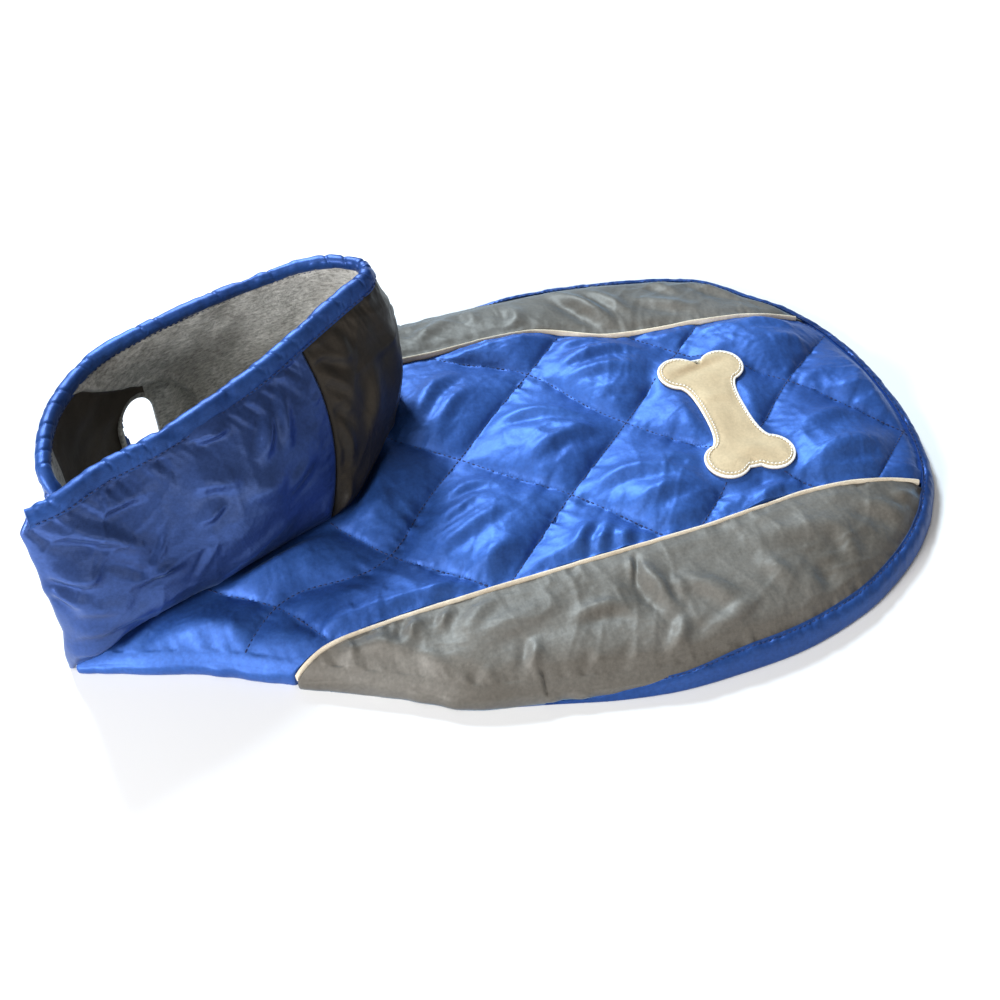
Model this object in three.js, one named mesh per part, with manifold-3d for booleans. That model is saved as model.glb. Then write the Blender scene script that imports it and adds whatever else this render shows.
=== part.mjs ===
// Dog winter coat lying on its lining: quilted blue back, grey side panels,
// stand-up neck collar open at the top. Millimetres, +Z up, +X toward the tail,
// +Y toward the far side. The collar stands at the low-X end.
import * as THREE from 'three';
import { mergeVertices } from 'three/addons/utils/BufferGeometryUtils.js';
import Module from 'manifold-3d';

// Driving dimensions
const SEAM_GAP = 0.3;
const QUILT_PITCH_X = 60;
const QUILT_PITCH_Y = 56;
const QUILT_ORIGIN = { x: 35, y: 190 };
const QUILT_PUFF = 6.5;
const QUILT_VALLEY = 0.16;
const BACK_WALL = 4;
const PIPING_WIDTH = 3.2;
const PIPING_RISE = 2.4;
const PIPING_DROP = 3.2;
const BINDING_COVER = 9;
const BINDING_EASE = 0.7;
const BINDING_BELLY = 0.2;
const BINDING_CLOTH = 1.2;
const EDGE_LIFT = 1.8;
const APPLIQUE_THICKNESS = 1.8;
const SHELL_WALL = 5;
const LINING_WALL = 2.5;
const LINING_GAP = 0.7;
const COLLAR_SEAT = 0.9;
const RIM_COVER = 9;
const RIM_EASE = 0.8;
const APPLIQUE_GAP = 0.6;
const LEG_OPENING = { x: -216, halfWidth: 12, top: 74, shoulder: 20, below: 5, farY: 126, depth: 60 };

// Bone applique: a shaft with two lobes at each end, laid across the back
const BONE = {
  centre: { x: 160, y: 7 },
  turn: 89,
  halfLength: 58,
  lobe: 15,
  lobeOut: 15.5,
  shaft: 15.5,
  waist: 14.8,
  notchAngle: -50,
  shaftAngle: 162,
  arcSteps: 7,
};

// Plan centre of the finished coat, moved to the origin
const PLAN_CENTRE = { x: 4.1, y: 8.2 };
const MIDDLE_Y = 7.5;

// Colours of the cloths
const COLOURS = {
  blue: { color: 0x1f55b5, roughness: 0.42, metalness: 0 },
  navy: { color: 0x2c4690, roughness: 0.45, metalness: 0 },
  grey: { color: 0x6c6a66, roughness: 0.5, metalness: 0 },
  olive: { color: 0x4d463c, roughness: 0.5, metalness: 0 },
  cream: { color: 0xe9dcc0, roughness: 0.8, metalness: 0 },
  fleece: { color: 0x77746c, roughness: 0.95, metalness: 0 },
};

// Cubic curve through the named columns of a table, by the column `key`
function tableCurve(rows, key) {
  const slope = (a, b, column) => (b[column] - a[column]) / (b[key] - a[key]);
  const tangent = (i, column) => {
    const before = rows[Math.max(i - 1, 0)];
    const after = rows[Math.min(i + 1, rows.length - 1)];
    return slope(before, after, column);
  };
  return (at, column) => {
    const value = THREE.MathUtils.clamp(at, rows[0][key], rows[rows.length - 1][key]);
    let i = 0;
    while (i < rows.length - 2 && value > rows[i + 1][key]) i += 1;
    const span = rows[i + 1][key] - rows[i][key];
    const t = (value - rows[i][key]) / span;
    const h = t * t * (3 - 2 * t);
    const rise = t * (1 - t) * (1 - t) * span * tangent(i, column);
    const fall = t * t * (1 - t) * span * tangent(i + 1, column);
    return rows[i][column] * (1 - h) + rows[i + 1][column] * h + rise - fall;
  };
}

// Outer edges and piping seams of the body, across the coat at each x
const EDGE_ROWS = [
  { x: -282, near: -58, far: -30 },
  { x: -276, near: -62, far: 14 },
  { x: -262, near: -66, far: 54 },
  { x: -240, near: -74, far: 86 },
  { x: -205, near: -85, far: 112 },
  { x: -165, near: -104, far: 142 },
  { x: -125, near: -124, far: 162 },
  { x: -94, near: -138, far: 172 },
  { x: -60, near: -155, far: 179 },
  { x: -10, near: -164, far: 186 },
  { x: 50, near: -174, far: 190 },
  { x: 90, near: -174, far: 191 },
  { x: 140, near: -169, far: 186 },
  { x: 186, near: -155, far: 177 },
  { x: 216, near: -139, far: 165 },
  { x: 242, near: -120, far: 139 },
  { x: 260, near: -102, far: 122 },
];
const TAIL_ROWS = [
  { y: -102, x: 260 },
  { y: -72, x: 279 },
  { y: -32, x: 290 },
  { y: 10, x: 293 },
  { y: 53, x: 289 },
  { y: 90, x: 278 },
  { y: 122, x: 260 },
];
const PIPING_ROWS = [
  { x: -158, near: -107, far: 142 },
  { x: -137, near: -99, far: 146 },
  { x: -108, near: -94, far: 142 },
  { x: -70, near: -90, far: 130 },
  { x: -20, near: -87, far: 127 },
  { x: 30, near: -84, far: 130 },
  { x: 66, near: -82, far: 128 },
  { x: 115, near: -79, far: 108 },
  { x: 180, near: -72, far: 104 },
  { x: 226, near: -73, far: 103 },
  { x: 286, near: -82, far: 90 },
];
const edgeAt = tableCurve(EDGE_ROWS, 'x');
const tailAt = tableCurve(TAIL_ROWS, 'y');
const pipingAt = tableCurve(PIPING_ROWS, 'x');
const nearEdge = (x) => edgeAt(x, 'near');
const farEdge = (x) => edgeAt(x, 'far');
const tailEdge = (y) => tailAt(y, 'x');

// The coat's outline as one closed run of plan points
const OUTLINE_STEP = 6;
const TAIL_START = EDGE_ROWS[EDGE_ROWS.length - 1].x;
function outlinePoints() {
  const points = [];
  const front = EDGE_ROWS[0].x;
  for (let x = front; x < TAIL_START; x += OUTLINE_STEP) {
    points.push(new THREE.Vector2(x, nearEdge(x)));
  }
  const tailLow = TAIL_ROWS[0].y;
  const tailHigh = TAIL_ROWS[TAIL_ROWS.length - 1].y;
  for (let y = tailLow; y < tailHigh; y += OUTLINE_STEP) {
    points.push(new THREE.Vector2(tailEdge(y), y));
  }
  for (let x = TAIL_START; x > front; x -= OUTLINE_STEP) {
    points.push(new THREE.Vector2(x, farEdge(x)));
  }
  return points;
}
const OUTLINE = outlinePoints();

// Distance in plan from a point to a closed run of points, negative outside
function insideDistance(polygon, x, y) {
  let best = Infinity;
  let inside = false;
  polygon.forEach((a, i) => {
    const b = polygon[(i + 1) % polygon.length];
    const dx = b.x - a.x;
    const dy = b.y - a.y;
    const along = ((x - a.x) * dx + (y - a.y) * dy) / (dx * dx + dy * dy);
    const t = THREE.MathUtils.clamp(along, 0, 1);
    best = Math.min(best, Math.hypot(x - a.x - t * dx, y - a.y - t * dy));
    const crosses = a.y > y !== b.y > y && x < a.x + (dx * (y - a.y)) / dy;
    if (crosses) inside = !inside;
  });
  return inside ? best : -best;
}
const edgeDistance = (x, y) => Math.max(insideDistance(OUTLINE, x, y), 0);

// Height of the body: plateau, edge height and how far in the edge rounds up
const HEIGHT_ROWS = [
  { x: -282, plateau: 9, edge: 3, nearReach: 20, farReach: 20 },
  { x: -240, plateau: 17, edge: 3, nearReach: 24, farReach: 24 },
  { x: -180, plateau: 21, edge: 3, nearReach: 26, farReach: 30 },
  { x: -90, plateau: 22, edge: 4, nearReach: 30, farReach: 40 },
  { x: 0, plateau: 23, edge: 5, nearReach: 34, farReach: 56 },
  { x: 120, plateau: 24, edge: 6, nearReach: 48, farReach: 66 },
  { x: 220, plateau: 24, edge: 6, nearReach: 74, farReach: 80 },
  { x: 293, plateau: 24, edge: 6, nearReach: 84, farReach: 84 },
];
const heightAt = tableCurve(HEIGHT_ROWS, 'x');
const SIDE_BLEND = 120;
function smooth(low, high, value) {
  return THREE.MathUtils.smoothstep(value, low, high);
}
function bodyHeight(x, y) {
  const side = smooth(-SIDE_BLEND / 2, SIDE_BLEND / 2, y - MIDDLE_Y);
  const reach = THREE.MathUtils.lerp(heightAt(x, 'nearReach'), heightAt(x, 'farReach'), side);
  const round = THREE.MathUtils.lerp(2, 1.6, side);
  const q = Math.min(edgeDistance(x, y) / reach, 1);
  const ease = (1 - (1 - q) ** round) ** (1 / round);
  const edge = heightAt(x, 'edge');
  return edge + (heightAt(x, 'plateau') - edge) * ease;
}

// Where the quilting lies off its even lattice
const QUILT_SHIFTS = [
  { x: 47, y: 88, dx: -12, dy: -10, radius: 45 },
  { x: -158, y: -62, dx: 13, dy: -28, radius: 45 },
  { x: -83, y: -44, dx: -2, dy: 10, radius: 40 },
];
// Raised cushion between the stitch lines of the diamond quilting, 0 to 1
function quiltPuff(x, y) {
  let u = x;
  let v = y;
  QUILT_SHIFTS.forEach((s) => {
    const fade = Math.exp(-((x - s.x) ** 2 + (y - s.y) ** 2) / s.radius ** 2);
    u += s.dx * fade;
    v += s.dy * fade;
  });
  const across = (u - QUILT_ORIGIN.x) / QUILT_PITCH_X;
  const down = (QUILT_ORIGIN.y - v) / QUILT_PITCH_Y;
  const a = Math.sin((Math.PI * (down + across)) / 2);
  const b = Math.sin((Math.PI * (down - across)) / 2);
  const soft = (s) => Math.sqrt(s * s + QUILT_VALLEY ** 2) - QUILT_VALLEY;
  return Math.sqrt(soft(a) * soft(b)) / (1 - QUILT_VALLEY);
}

// Largest folds of the side panels: soft ridges, half length along the fold
const SIDE_FOLDS = [
  { x: 62, y: -112, angle: 78, length: 34, width: 7, height: 4.5 },
  { x: 96, y: -132, angle: 55, length: 28, width: 8, height: 3.5 },
  { x: -30, y: -122, angle: 20, length: 45, width: 10, height: 3 },
  { x: 170, y: -112, angle: 12, length: 50, width: 10, height: 2.5 },
  { x: 228, y: -100, angle: 40, length: 26, width: 8, height: 2.5 },
  { x: -100, y: -115, angle: 30, length: 22, width: 6, height: 2.5 },
  { x: 60, y: 160, angle: 150, length: 40, width: 9, height: 4 },
  { x: 140, y: 150, angle: 165, length: 40, width: 9, height: 2.5 },
  { x: 215, y: 132, angle: 140, length: 26, width: 8, height: 2.5 },
];
function foldHeight(x, y) {
  return SIDE_FOLDS.reduce((sum, f) => {
    const turn = THREE.MathUtils.degToRad(f.angle);
    const dx = x - f.x;
    const dy = y - f.y;
    const along = (dx * Math.cos(turn) + dy * Math.sin(turn)) / f.length;
    const across = (dy * Math.cos(turn) - dx * Math.sin(turn)) / f.width;
    return sum + f.height * Math.exp(-along * along - across * across);
  }, 0);
}

// Underside: raised inside the edges, flat on the surface under the collar
const REST_BAND = { flat: 8, lifted: 30 };
const FRONT_FILL = { solid: -120, open: -70 };
const BOUND_FROM = -22;
function undersideHeight(x, y) {
  const d = edgeDistance(x, y);
  const open = smooth(REST_BAND.flat, REST_BAND.lifted, d) * smooth(FRONT_FILL.solid, FRONT_FILL.open, x);
  const lifted = (bodyHeight(x, y) - BACK_WALL) * open;
  if (x < BOUND_FROM) return lifted;
  const overBinding = EDGE_LIFT * (1 - smooth(BINDING_COVER + 1, REST_BAND.lifted / 2, d));
  return Math.max(lifted, overBinding);
}

// Collar: outer face from the seam on the shoulder to the rim, round the neck
// from the near front end over the back of the neck to the overlapped far end
const COLLAR_ROWS = [
  { at: 0, footX: -285, footY: -52, rimX: -275, rimY: -44, rimZ: 121, bulge: 5, sway: 0 },
  { at: 1, footX: -262, footY: -55, rimX: -255, rimY: -39, rimZ: 124, bulge: 10, sway: 0 },
  { at: 2, footX: -235, footY: -48, rimX: -232, rimY: -26, rimZ: 126, bulge: 13, sway: 0 },
  { at: 3, footX: -200, footY: -37, rimX: -200, rimY: -14, rimZ: 128, bulge: 14, sway: 0 },
  { at: 4, footX: -165, footY: -25, rimX: -165, rimY: 6, rimZ: 129, bulge: 13, sway: 2 },
  { at: 5, footX: -137, footY: -14, rimX: -134, rimY: 25, rimZ: 131, bulge: 10, sway: 6 },
  { at: 6, footX: -112, footY: -5, rimX: -111, rimY: 42, rimZ: 133, bulge: 6, sway: 9 },
  { at: 7, footX: -97, footY: 5, rimX: -89, rimY: 59, rimZ: 135, bulge: 9, sway: 6 },
  { at: 8, footX: -83, footY: 27, rimX: -73, rimY: 70, rimZ: 137, bulge: 13, sway: 2 },
  { at: 9, footX: -70, footY: 51, rimX: -62, rimY: 77, rimZ: 138, bulge: 15, sway: 0 },
  { at: 10, footX: -60, footY: 76, rimX: -56, rimY: 85, rimZ: 138, bulge: 15, sway: 0 },
  { at: 11, footX: -56, footY: 99, rimX: -56, rimY: 94, rimZ: 137, bulge: 13, sway: 0 },
  { at: 12, footX: -60, footY: 120, rimX: -62, rimY: 104, rimZ: 136, bulge: 10, sway: 0 },
  { at: 13, footX: -77, footY: 133, rimX: -79, rimY: 114, rimZ: 134, bulge: 7, sway: 0 },
  { at: 14, footX: -98, footY: 138, rimX: -99, rimY: 117, rimZ: 132, bulge: 6, sway: 0 },
  { at: 15, footX: -121, footY: 136, rimX: -119, rimY: 115, rimZ: 130, bulge: 5, sway: 0 },
  { at: 16, footX: -150, footY: 127, rimX: -147, rimY: 109, rimZ: 128, bulge: 8, sway: 0 },
  { at: 17, footX: -182, footY: 112, rimX: -179, rimY: 100, rimZ: 126, bulge: 8, sway: 0 },
  { at: 18, footX: -208, footY: 96, rimX: -208, rimY: 90, rimZ: 124, bulge: 6, sway: 0 },
  { at: 19, footX: -231, footY: 79, rimX: -231, rimY: 78, rimZ: 123, bulge: 3, sway: 0 },
  { at: 20, footX: -249, footY: 58, rimX: -248, rimY: 60, rimZ: 122, bulge: 2, sway: 0 },
  { at: 21, footX: -261, footY: 34, rimX: -261, rimY: 37, rimZ: 122, bulge: 2, sway: 0 },
  { at: 22, footX: -266, footY: 8, rimX: -268, rimY: 10, rimZ: 121, bulge: 2, sway: 0 },
  { at: 23, footX: -264, footY: -14, rimX: -268, rimY: -13, rimZ: 119, bulge: 2, sway: 0 },
  { at: 24, footX: -252, footY: -27, rimX: -257, rimY: -25, rimZ: 108, bulge: 2, sway: 0 },
  { at: 25, footX: -228, footY: -25, rimX: -232, rimY: -18, rimZ: 96, bulge: 2, sway: 0 },
];
const COLLAR_FOOT = COLLAR_ROWS.slice(0, -2).map((r) => new THREE.Vector2(r.footX, r.footY));
const PUFF_FADE = { from: 9, to: 26 };
const COLLAR_PRESS = { from: -12, to: -2, height: 1.5 };
const BONE_PRESS = { margin: 8, fade: 14, height: 4 };
const BINDING_PRESS = 1.9;
// How far the binding squeezes the cloth along the bound edges
function squeezed(x, y) {
  if (x < BOUND_FROM) return 0;
  return BINDING_PRESS * (1 - smooth(BINDING_COVER + 1, BINDING_COVER + 7, edgeDistance(x, y)));
}
// Share, 0 to 1, by which the applique presses the quilting smooth
function bonePress(x, y) {
  const turn = THREE.MathUtils.degToRad(BONE.turn);
  const dx = x - BONE.centre.x;
  const dy = y - BONE.centre.y;
  const along = Math.abs(dx * Math.cos(turn) + dy * Math.sin(turn)) - BONE.halfLength;
  const across = Math.abs(dy * Math.cos(turn) - dx * Math.sin(turn)) - BONE.lobe - BONE.lobeOut;
  return 1 - smooth(BONE_PRESS.margin, BONE_PRESS.margin + BONE_PRESS.fade, Math.max(along, across));
}
function quiltTop(x, y) {
  const fade = smooth(PUFF_FADE.from, PUFF_FADE.to, edgeDistance(x, y));
  const underCollar = smooth(COLLAR_PRESS.from, COLLAR_PRESS.to, insideDistance(COLLAR_FOOT, x, y));
  let rise = THREE.MathUtils.lerp(QUILT_PUFF * quiltPuff(x, y), COLLAR_PRESS.height, underCollar);
  rise = THREE.MathUtils.lerp(rise, BONE_PRESS.height, bonePress(x, y));
  return bodyHeight(x, y) + rise * fade - squeezed(x, y);
}
const SIDE_FULLNESS = 2;
function sideTop(x, y) {
  const fade = smooth(PUFF_FADE.from, PUFF_FADE.to, edgeDistance(x, y));
  return bodyHeight(x, y) + (SIDE_FULLNESS + foldHeight(x, y)) * fade - squeezed(x, y);
}

// One closed body from an outer and an inner grid of points
function shell(rows, columns, outer, inner) {
  const positions = [];
  const index = [];
  [outer, inner].forEach((surface) => {
    for (let i = 0; i <= rows; i += 1) {
      for (let j = 0; j <= columns; j += 1) positions.push(...surface(i, j).toArray());
    }
  });
  const layer = (rows + 1) * (columns + 1);
  const at = (i, j, side) => side * layer + i * (columns + 1) + j;
  const quad = (a, b, c, d) => index.push(a, b, c, a, c, d);
  for (let i = 0; i < rows; i += 1) {
    for (let j = 0; j < columns; j += 1) {
      quad(at(i, j, 0), at(i + 1, j, 0), at(i + 1, j + 1, 0), at(i, j + 1, 0));
      quad(at(i, j, 1), at(i, j + 1, 1), at(i + 1, j + 1, 1), at(i + 1, j, 1));
    }
    quad(at(i, 0, 0), at(i, 0, 1), at(i + 1, 0, 1), at(i + 1, 0, 0));
    quad(at(i, columns, 0), at(i + 1, columns, 0), at(i + 1, columns, 1), at(i, columns, 1));
  }
  for (let j = 0; j < columns; j += 1) {
    quad(at(0, j, 0), at(0, j + 1, 0), at(0, j + 1, 1), at(0, j, 1));
    quad(at(rows, j, 0), at(rows, j, 1), at(rows, j + 1, 1), at(rows, j + 1, 0));
  }
  return closedGeometry(positions, index);
}

// Indexed geometry turned so that its faces point out
function closedGeometry(positions, index) {
  const geometry = new THREE.BufferGeometry();
  geometry.setAttribute('position', new THREE.Float32BufferAttribute(positions, 3));
  geometry.setIndex(signedVolume(positions, index) < 0 ? index.slice().reverse() : index);
  geometry.computeVertexNormals();
  return geometry;
}
function signedVolume(positions, index) {
  const corner = (k) => new THREE.Vector3().fromArray(positions, index[k] * 3);
  let volume = 0;
  for (let k = 0; k < index.length; k += 3) {
    volume += corner(k).dot(corner(k + 1).cross(corner(k + 2))) / 6;
  }
  return volume;
}

// Boolean cut
const wasm = await Module();
wasm.setup();
function toManifold(geometry) {
  const plain = geometry.clone();
  plain.deleteAttribute('normal');
  plain.deleteAttribute('uv');
  const merged = mergeVertices(plain, 1e-4);
  const vertProperties = new Float32Array(merged.getAttribute('position').array);
  const triVerts = new Uint32Array(merged.getIndex().array);
  return new wasm.Manifold(new wasm.Mesh({ numProp: 3, vertProperties, triVerts }));
}
function cut(geometry, tool) {
  const mesh = toManifold(geometry).subtract(toManifold(tool)).getMesh();
  const result = new THREE.BufferGeometry();
  result.setAttribute('position', new THREE.BufferAttribute(mesh.vertProperties, 3));
  result.setIndex(Array.from(mesh.triVerts));
  result.computeVertexNormals();
  return result;
}

const coat = new THREE.Group();
coat.position.set(-PLAN_CENTRE.x, -PLAN_CENTRE.y, 0);
function add(name, geometry, colour) {
  const mesh = new THREE.Mesh(geometry, new THREE.MeshStandardMaterial(COLOURS[colour]));
  mesh.name = name;
  coat.add(mesh);
}

// A body panel between two boundaries, with its top and underside over one grid
function bodyPanel(rows, columns, place, top) {
  const point = (i, j, height) => {
    const p = place(i / rows, j / columns);
    return new THREE.Vector3(p.x, p.y, height(p.x, p.y));
  };
  return shell(rows, columns, (i, j) => point(i, j, top), (i, j) => point(i, j, undersideHeight));
}

// Ease that packs steps toward the start of 0 to 1, where an edge rounds down
const crowd = (t) => 1 - Math.cos((t * Math.PI) / 2);
const EDGE_INSET = 2.8;
const SEAM_HALF = PIPING_WIDTH / 2 + SEAM_GAP;
const { lerp } = THREE.MathUtils;

// Quilted back panel, from the front of the shoulder to the tail
const QUILT_FRONT = -277;
const NEAR_SEAM_START = -158;
function quiltNear(x) {
  if (x < NEAR_SEAM_START) return nearEdge(x) + EDGE_INSET;
  return pipingAt(x, 'near') + SEAM_HALF;
}
const FAR_SEAM_START = -140;
const TAIL_SEAMS = { near: -82, far: 98 };
const EDGE_CROWDING = 0.35;
function quiltFar(x) {
  if (x < FAR_SEAM_START) return farEdge(x) - EDGE_INSET;
  return pipingAt(x, 'far') - SEAM_HALF;
}
function quiltPlace(s, t) {
  const spread = (1 - Math.cos(Math.PI * t)) / 2;
  const across = lerp(t, spread, EDGE_CROWDING);
  const tailY = lerp(TAIL_SEAMS.near + SEAM_HALF, TAIL_SEAMS.far - SEAM_HALF, across);
  const tailX = tailEdge(tailY) - EDGE_INSET;
  const x = lerp(QUILT_FRONT, tailX, s);
  return new THREE.Vector2(x, lerp(quiltNear(x), quiltFar(x), across));
}
add('back_panel', bodyPanel(54, 22, quiltPlace, quiltTop), 'blue');

// Grey side panels, from the shoulder to the tail corners
const SIDE_START = { near: -150, far: -128 };
const SIDE_END = { near: 270, far: 266 };
function sidePlace(side, sign) {
  const outer = (x) => {
    if (x < TAIL_START) return edgeAt(x, side) - sign * EDGE_INSET;
    return tailCorner(x, sign) - sign * EDGE_INSET;
  };
  return (s, t) => {
    const x = lerp(SIDE_START[side], SIDE_END[side], s);
    const seam = pipingAt(x, side) + sign * SEAM_HALF;
    return new THREE.Vector2(x, lerp(outer(x), seam, crowd(t)));
  };
}
// The tail curve's y at an x past the side edges, by halving
const CORNER_REACH = 60;
const HALVINGS = 20;
function tailCorner(x, sign) {
  let low = sign < 0 ? TAIL_ROWS[0].y : CORNER_REACH;
  let high = sign < 0 ? -CORNER_REACH : TAIL_ROWS[TAIL_ROWS.length - 1].y;
  for (let k = 0; k < HALVINGS; k += 1) {
    const middle = (low + high) / 2;
    const inside = tailEdge(middle) > x;
    if ((sign < 0) === inside) high = middle;
    else low = middle;
  }
  return (low + high) / 2;
}
add('side_panel_near', bodyPanel(44, 8, sidePlace('near', -1), sideTop), 'grey');
add('side_panel_far', bodyPanel(34, 6, sidePlace('far', 1), sideTop), 'grey');

// Piping: an oval cord with its flange standing in each seam
const PIPING_SIDES = 6;
function piping(side, from, to, rows) {
  const ring = (i) => {
    const x = lerp(from, to, i / rows);
    const y = pipingAt(x, side);
    const run = pipingAt(x + 1, side) - pipingAt(x - 1, side);
    const across = new THREE.Vector3(-run, 2, 0).normalize();
    const base = bodyHeight(x, y);
    const middle = base + (PIPING_RISE - PIPING_DROP) / 2;
    const half = (PIPING_RISE + PIPING_DROP) / 2;
    return Array.from({ length: PIPING_SIDES }, (_, k) => {
      const turn = (2 * Math.PI * k) / PIPING_SIDES;
      const sideways = across.clone().multiplyScalar((Math.cos(turn) * PIPING_WIDTH) / 2);
      return new THREE.Vector3(x, y, middle + Math.sin(turn) * half).add(sideways);
    });
  };
  return loft(rows, ring);
}
// Closed body through rings of equal counts, with flat ends
function loft(rows, ring) {
  const positions = [];
  const index = [];
  const rings = Array.from({ length: rows + 1 }, (_, i) => ring(i));
  const count = rings[0].length;
  rings.forEach((points) => points.forEach((p) => positions.push(...p.toArray())));
  for (let i = 0; i < rows; i += 1) {
    for (let k = 0; k < count; k += 1) {
      const a = i * count + k;
      const b = i * count + ((k + 1) % count);
      index.push(a, b, b + count, a, b + count, a + count);
    }
  }
  const last = rows * count;
  for (let k = 1; k < count - 1; k += 1) {
    index.push(0, k + 1, k, last, last + k, last + k + 1);
  }
  return closedGeometry(positions, index);
}
add('piping_near', piping('near', -150, 261, 46), 'cream');
add('piping_far', piping('far', -122, 257, 42), 'cream');

// Binding folded over the body's edge round the tail and along both sides
const BINDING_STATIONS = 56;
// How far the binding shows: it turns under where the sides begin to roll
const COVER_ROWS = [
  { x: -12, near: 0.12, far: 0.2 },
  { x: 20, near: 0.25, far: 0.35 },
  { x: 60, near: 0.5, far: 0.8 },
  { x: 110, near: 1, far: 1 },
  { x: 293, near: 1, far: 1 },
];
const coverAt = tableCurve(COVER_ROWS, 'x');
const BINDING_ENDS = { near: -10, far: 14 };
const PATH_STEP = 3;
function bindingPath() {
  const points = [];
  const add3 = (x, y) => points.push(new THREE.Vector3(x, y, 0));
  for (let x = BINDING_ENDS.near; x < TAIL_START; x += PATH_STEP) add3(x, nearEdge(x));
  const tailLow = TAIL_ROWS[0].y + 2;
  const tailHigh = TAIL_ROWS[TAIL_ROWS.length - 1].y;
  for (let y = tailLow; y < tailHigh; y += PATH_STEP) add3(tailEdge(y), y);
  for (let x = TAIL_START; x > BINDING_ENDS.far; x -= PATH_STEP) add3(x, farEdge(x));
  return new THREE.CatmullRomCurve3(points, false, 'centripetal');
}
const BINDING_COLUMNS = [
  { inward: BINDING_COVER, face: 'under' },
  { inward: 4, face: 'under' },
  { inward: 0, face: 'under' },
  { inward: -1, face: 'side' },
  { inward: 0, face: 'top' },
  { inward: 2.5, face: 'top' },
  { inward: 6, face: 'top' },
  { inward: BINDING_COVER, face: 'top' },
];
function edgeBinding() {
  const path = bindingPath();
  const place = (i) => {
    const u = i / BINDING_STATIONS;
    const tangent = path.getTangentAt(u);
    return { at: path.getPointAt(u), inward: new THREE.Vector3(-tangent.y, tangent.x, 0) };
  };
  const stations = Array.from({ length: BINDING_STATIONS + 1 }, (_, i) => place(i));
  const point = (i, j, cloth) => {
    const { at, inward } = stations[i];
    const column = BINDING_COLUMNS[j];
    const outset = cloth ? 0 : BINDING_CLOTH;
    const side = at.y < MIDDLE_Y ? 'near' : 'far';
    const inside = column.inward * (column.face === 'top' ? coverAt(at.x, side) : 1);
    const shift = column.face === 'side' ? outset - BINDING_BELLY : Math.max(inside, 0) + outset;
    const p = at.clone().addScaledVector(inward, shift);
    const above = bodyHeight(p.x, p.y) + BINDING_EASE;
    if (column.face === 'under') p.z = cloth ? 0 : BINDING_CLOTH;
    if (column.face === 'side') p.z = above / 2 + 0.5;
    if (column.face === 'top') p.z = above + SEAM_GAP + (cloth ? BINDING_CLOTH : 0);
    return p;
  };
  const columns = BINDING_COLUMNS.length - 1;
  return shell(BINDING_STATIONS, columns, (i, j) => point(i, j, true), (i, j) => point(i, j, false));
}
add('edge_binding', edgeBinding(), 'blue');

// The applique's outline: a quarter from the end notch to the middle, mirrored
function boneOutline() {
  const lobeAlong = BONE.halfLength - BONE.lobe;
  const quarter = Array.from({ length: BONE.arcSteps + 1 }, (_, k) => {
    const angle = lerp(BONE.notchAngle, BONE.shaftAngle, k / BONE.arcSteps);
    const turn = THREE.MathUtils.degToRad(angle);
    const along = lobeAlong + BONE.lobe * Math.cos(turn);
    return new THREE.Vector2(along, BONE.lobeOut + BONE.lobe * Math.sin(turn));
  });
  quarter.push(new THREE.Vector2(lobeAlong * 0.5, BONE.shaft));
  quarter.push(new THREE.Vector2(lobeAlong * 0.15, BONE.waist));
  const mirror = (a, b) => quarter.map((q) => new THREE.Vector2(q.x * a, q.y * b));
  const half = [...mirror(1, 1), ...mirror(-1, 1).reverse()];
  return [...half, ...mirror(-1, -1), ...mirror(1, -1).reverse()];
}
// Plan triangles of an outline, each edge halved the given number of times
function planTriangles(outline, halvings) {
  const points = outline.slice();
  let triangles = THREE.ShapeUtils.triangulateShape(outline, []);
  let rim = outline.map((_, k) => k);
  for (let level = 0; level < halvings; level += 1) {
    const middles = new Map();
    const middle = (a, b) => {
      const key = a < b ? `${a}_${b}` : `${b}_${a}`;
      if (!middles.has(key)) {
        middles.set(key, points.length);
        points.push(points[a].clone().add(points[b]).multiplyScalar(0.5));
      }
      return middles.get(key);
    };
    triangles = triangles.flatMap(([a, b, c]) => {
      const ab = middle(a, b);
      const bc = middle(b, c);
      const ca = middle(c, a);
      return [[a, ab, ca], [ab, b, bc], [ca, bc, c], [ab, bc, ca]];
    });
    rim = rim.flatMap((a, k) => [a, middle(a, rim[(k + 1) % rim.length])]);
  }
  return { points, triangles, rim };
}
function boneApplique() {
  const turn = THREE.MathUtils.degToRad(BONE.turn);
  const { points, triangles, rim } = planTriangles(boneOutline(), 1);
  const centre = new THREE.Vector2(BONE.centre.x, BONE.centre.y);
  const laid = points.map((q) => q.clone().rotateAround(new THREE.Vector2(), turn).add(centre));
  const lift = [APPLIQUE_THICKNESS + APPLIQUE_GAP, APPLIQUE_GAP];
  const positions = lift.flatMap((rise) => laid.flatMap((q) => [q.x, q.y, quiltTop(q.x, q.y) + rise]));
  const under = points.length;
  const index = triangles.flatMap(([a, b, c]) => [a, b, c, a + under, c + under, b + under]);
  rim.forEach((a, k) => {
    const b = rim[(k + 1) % rim.length];
    index.push(a, a + under, b + under, a, b + under, b);
  });
  return closedGeometry(positions, index);
}
add('bone_applique', boneApplique(), 'cream');

const collarAt = tableCurve(COLLAR_ROWS, 'at');
const COLLAR_END = COLLAR_ROWS.length - 1;
// Stations of the two seams that join the gusset between the flaps
const SEAM_NEAR = 6;
const SEAM_FAR = 15;

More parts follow.
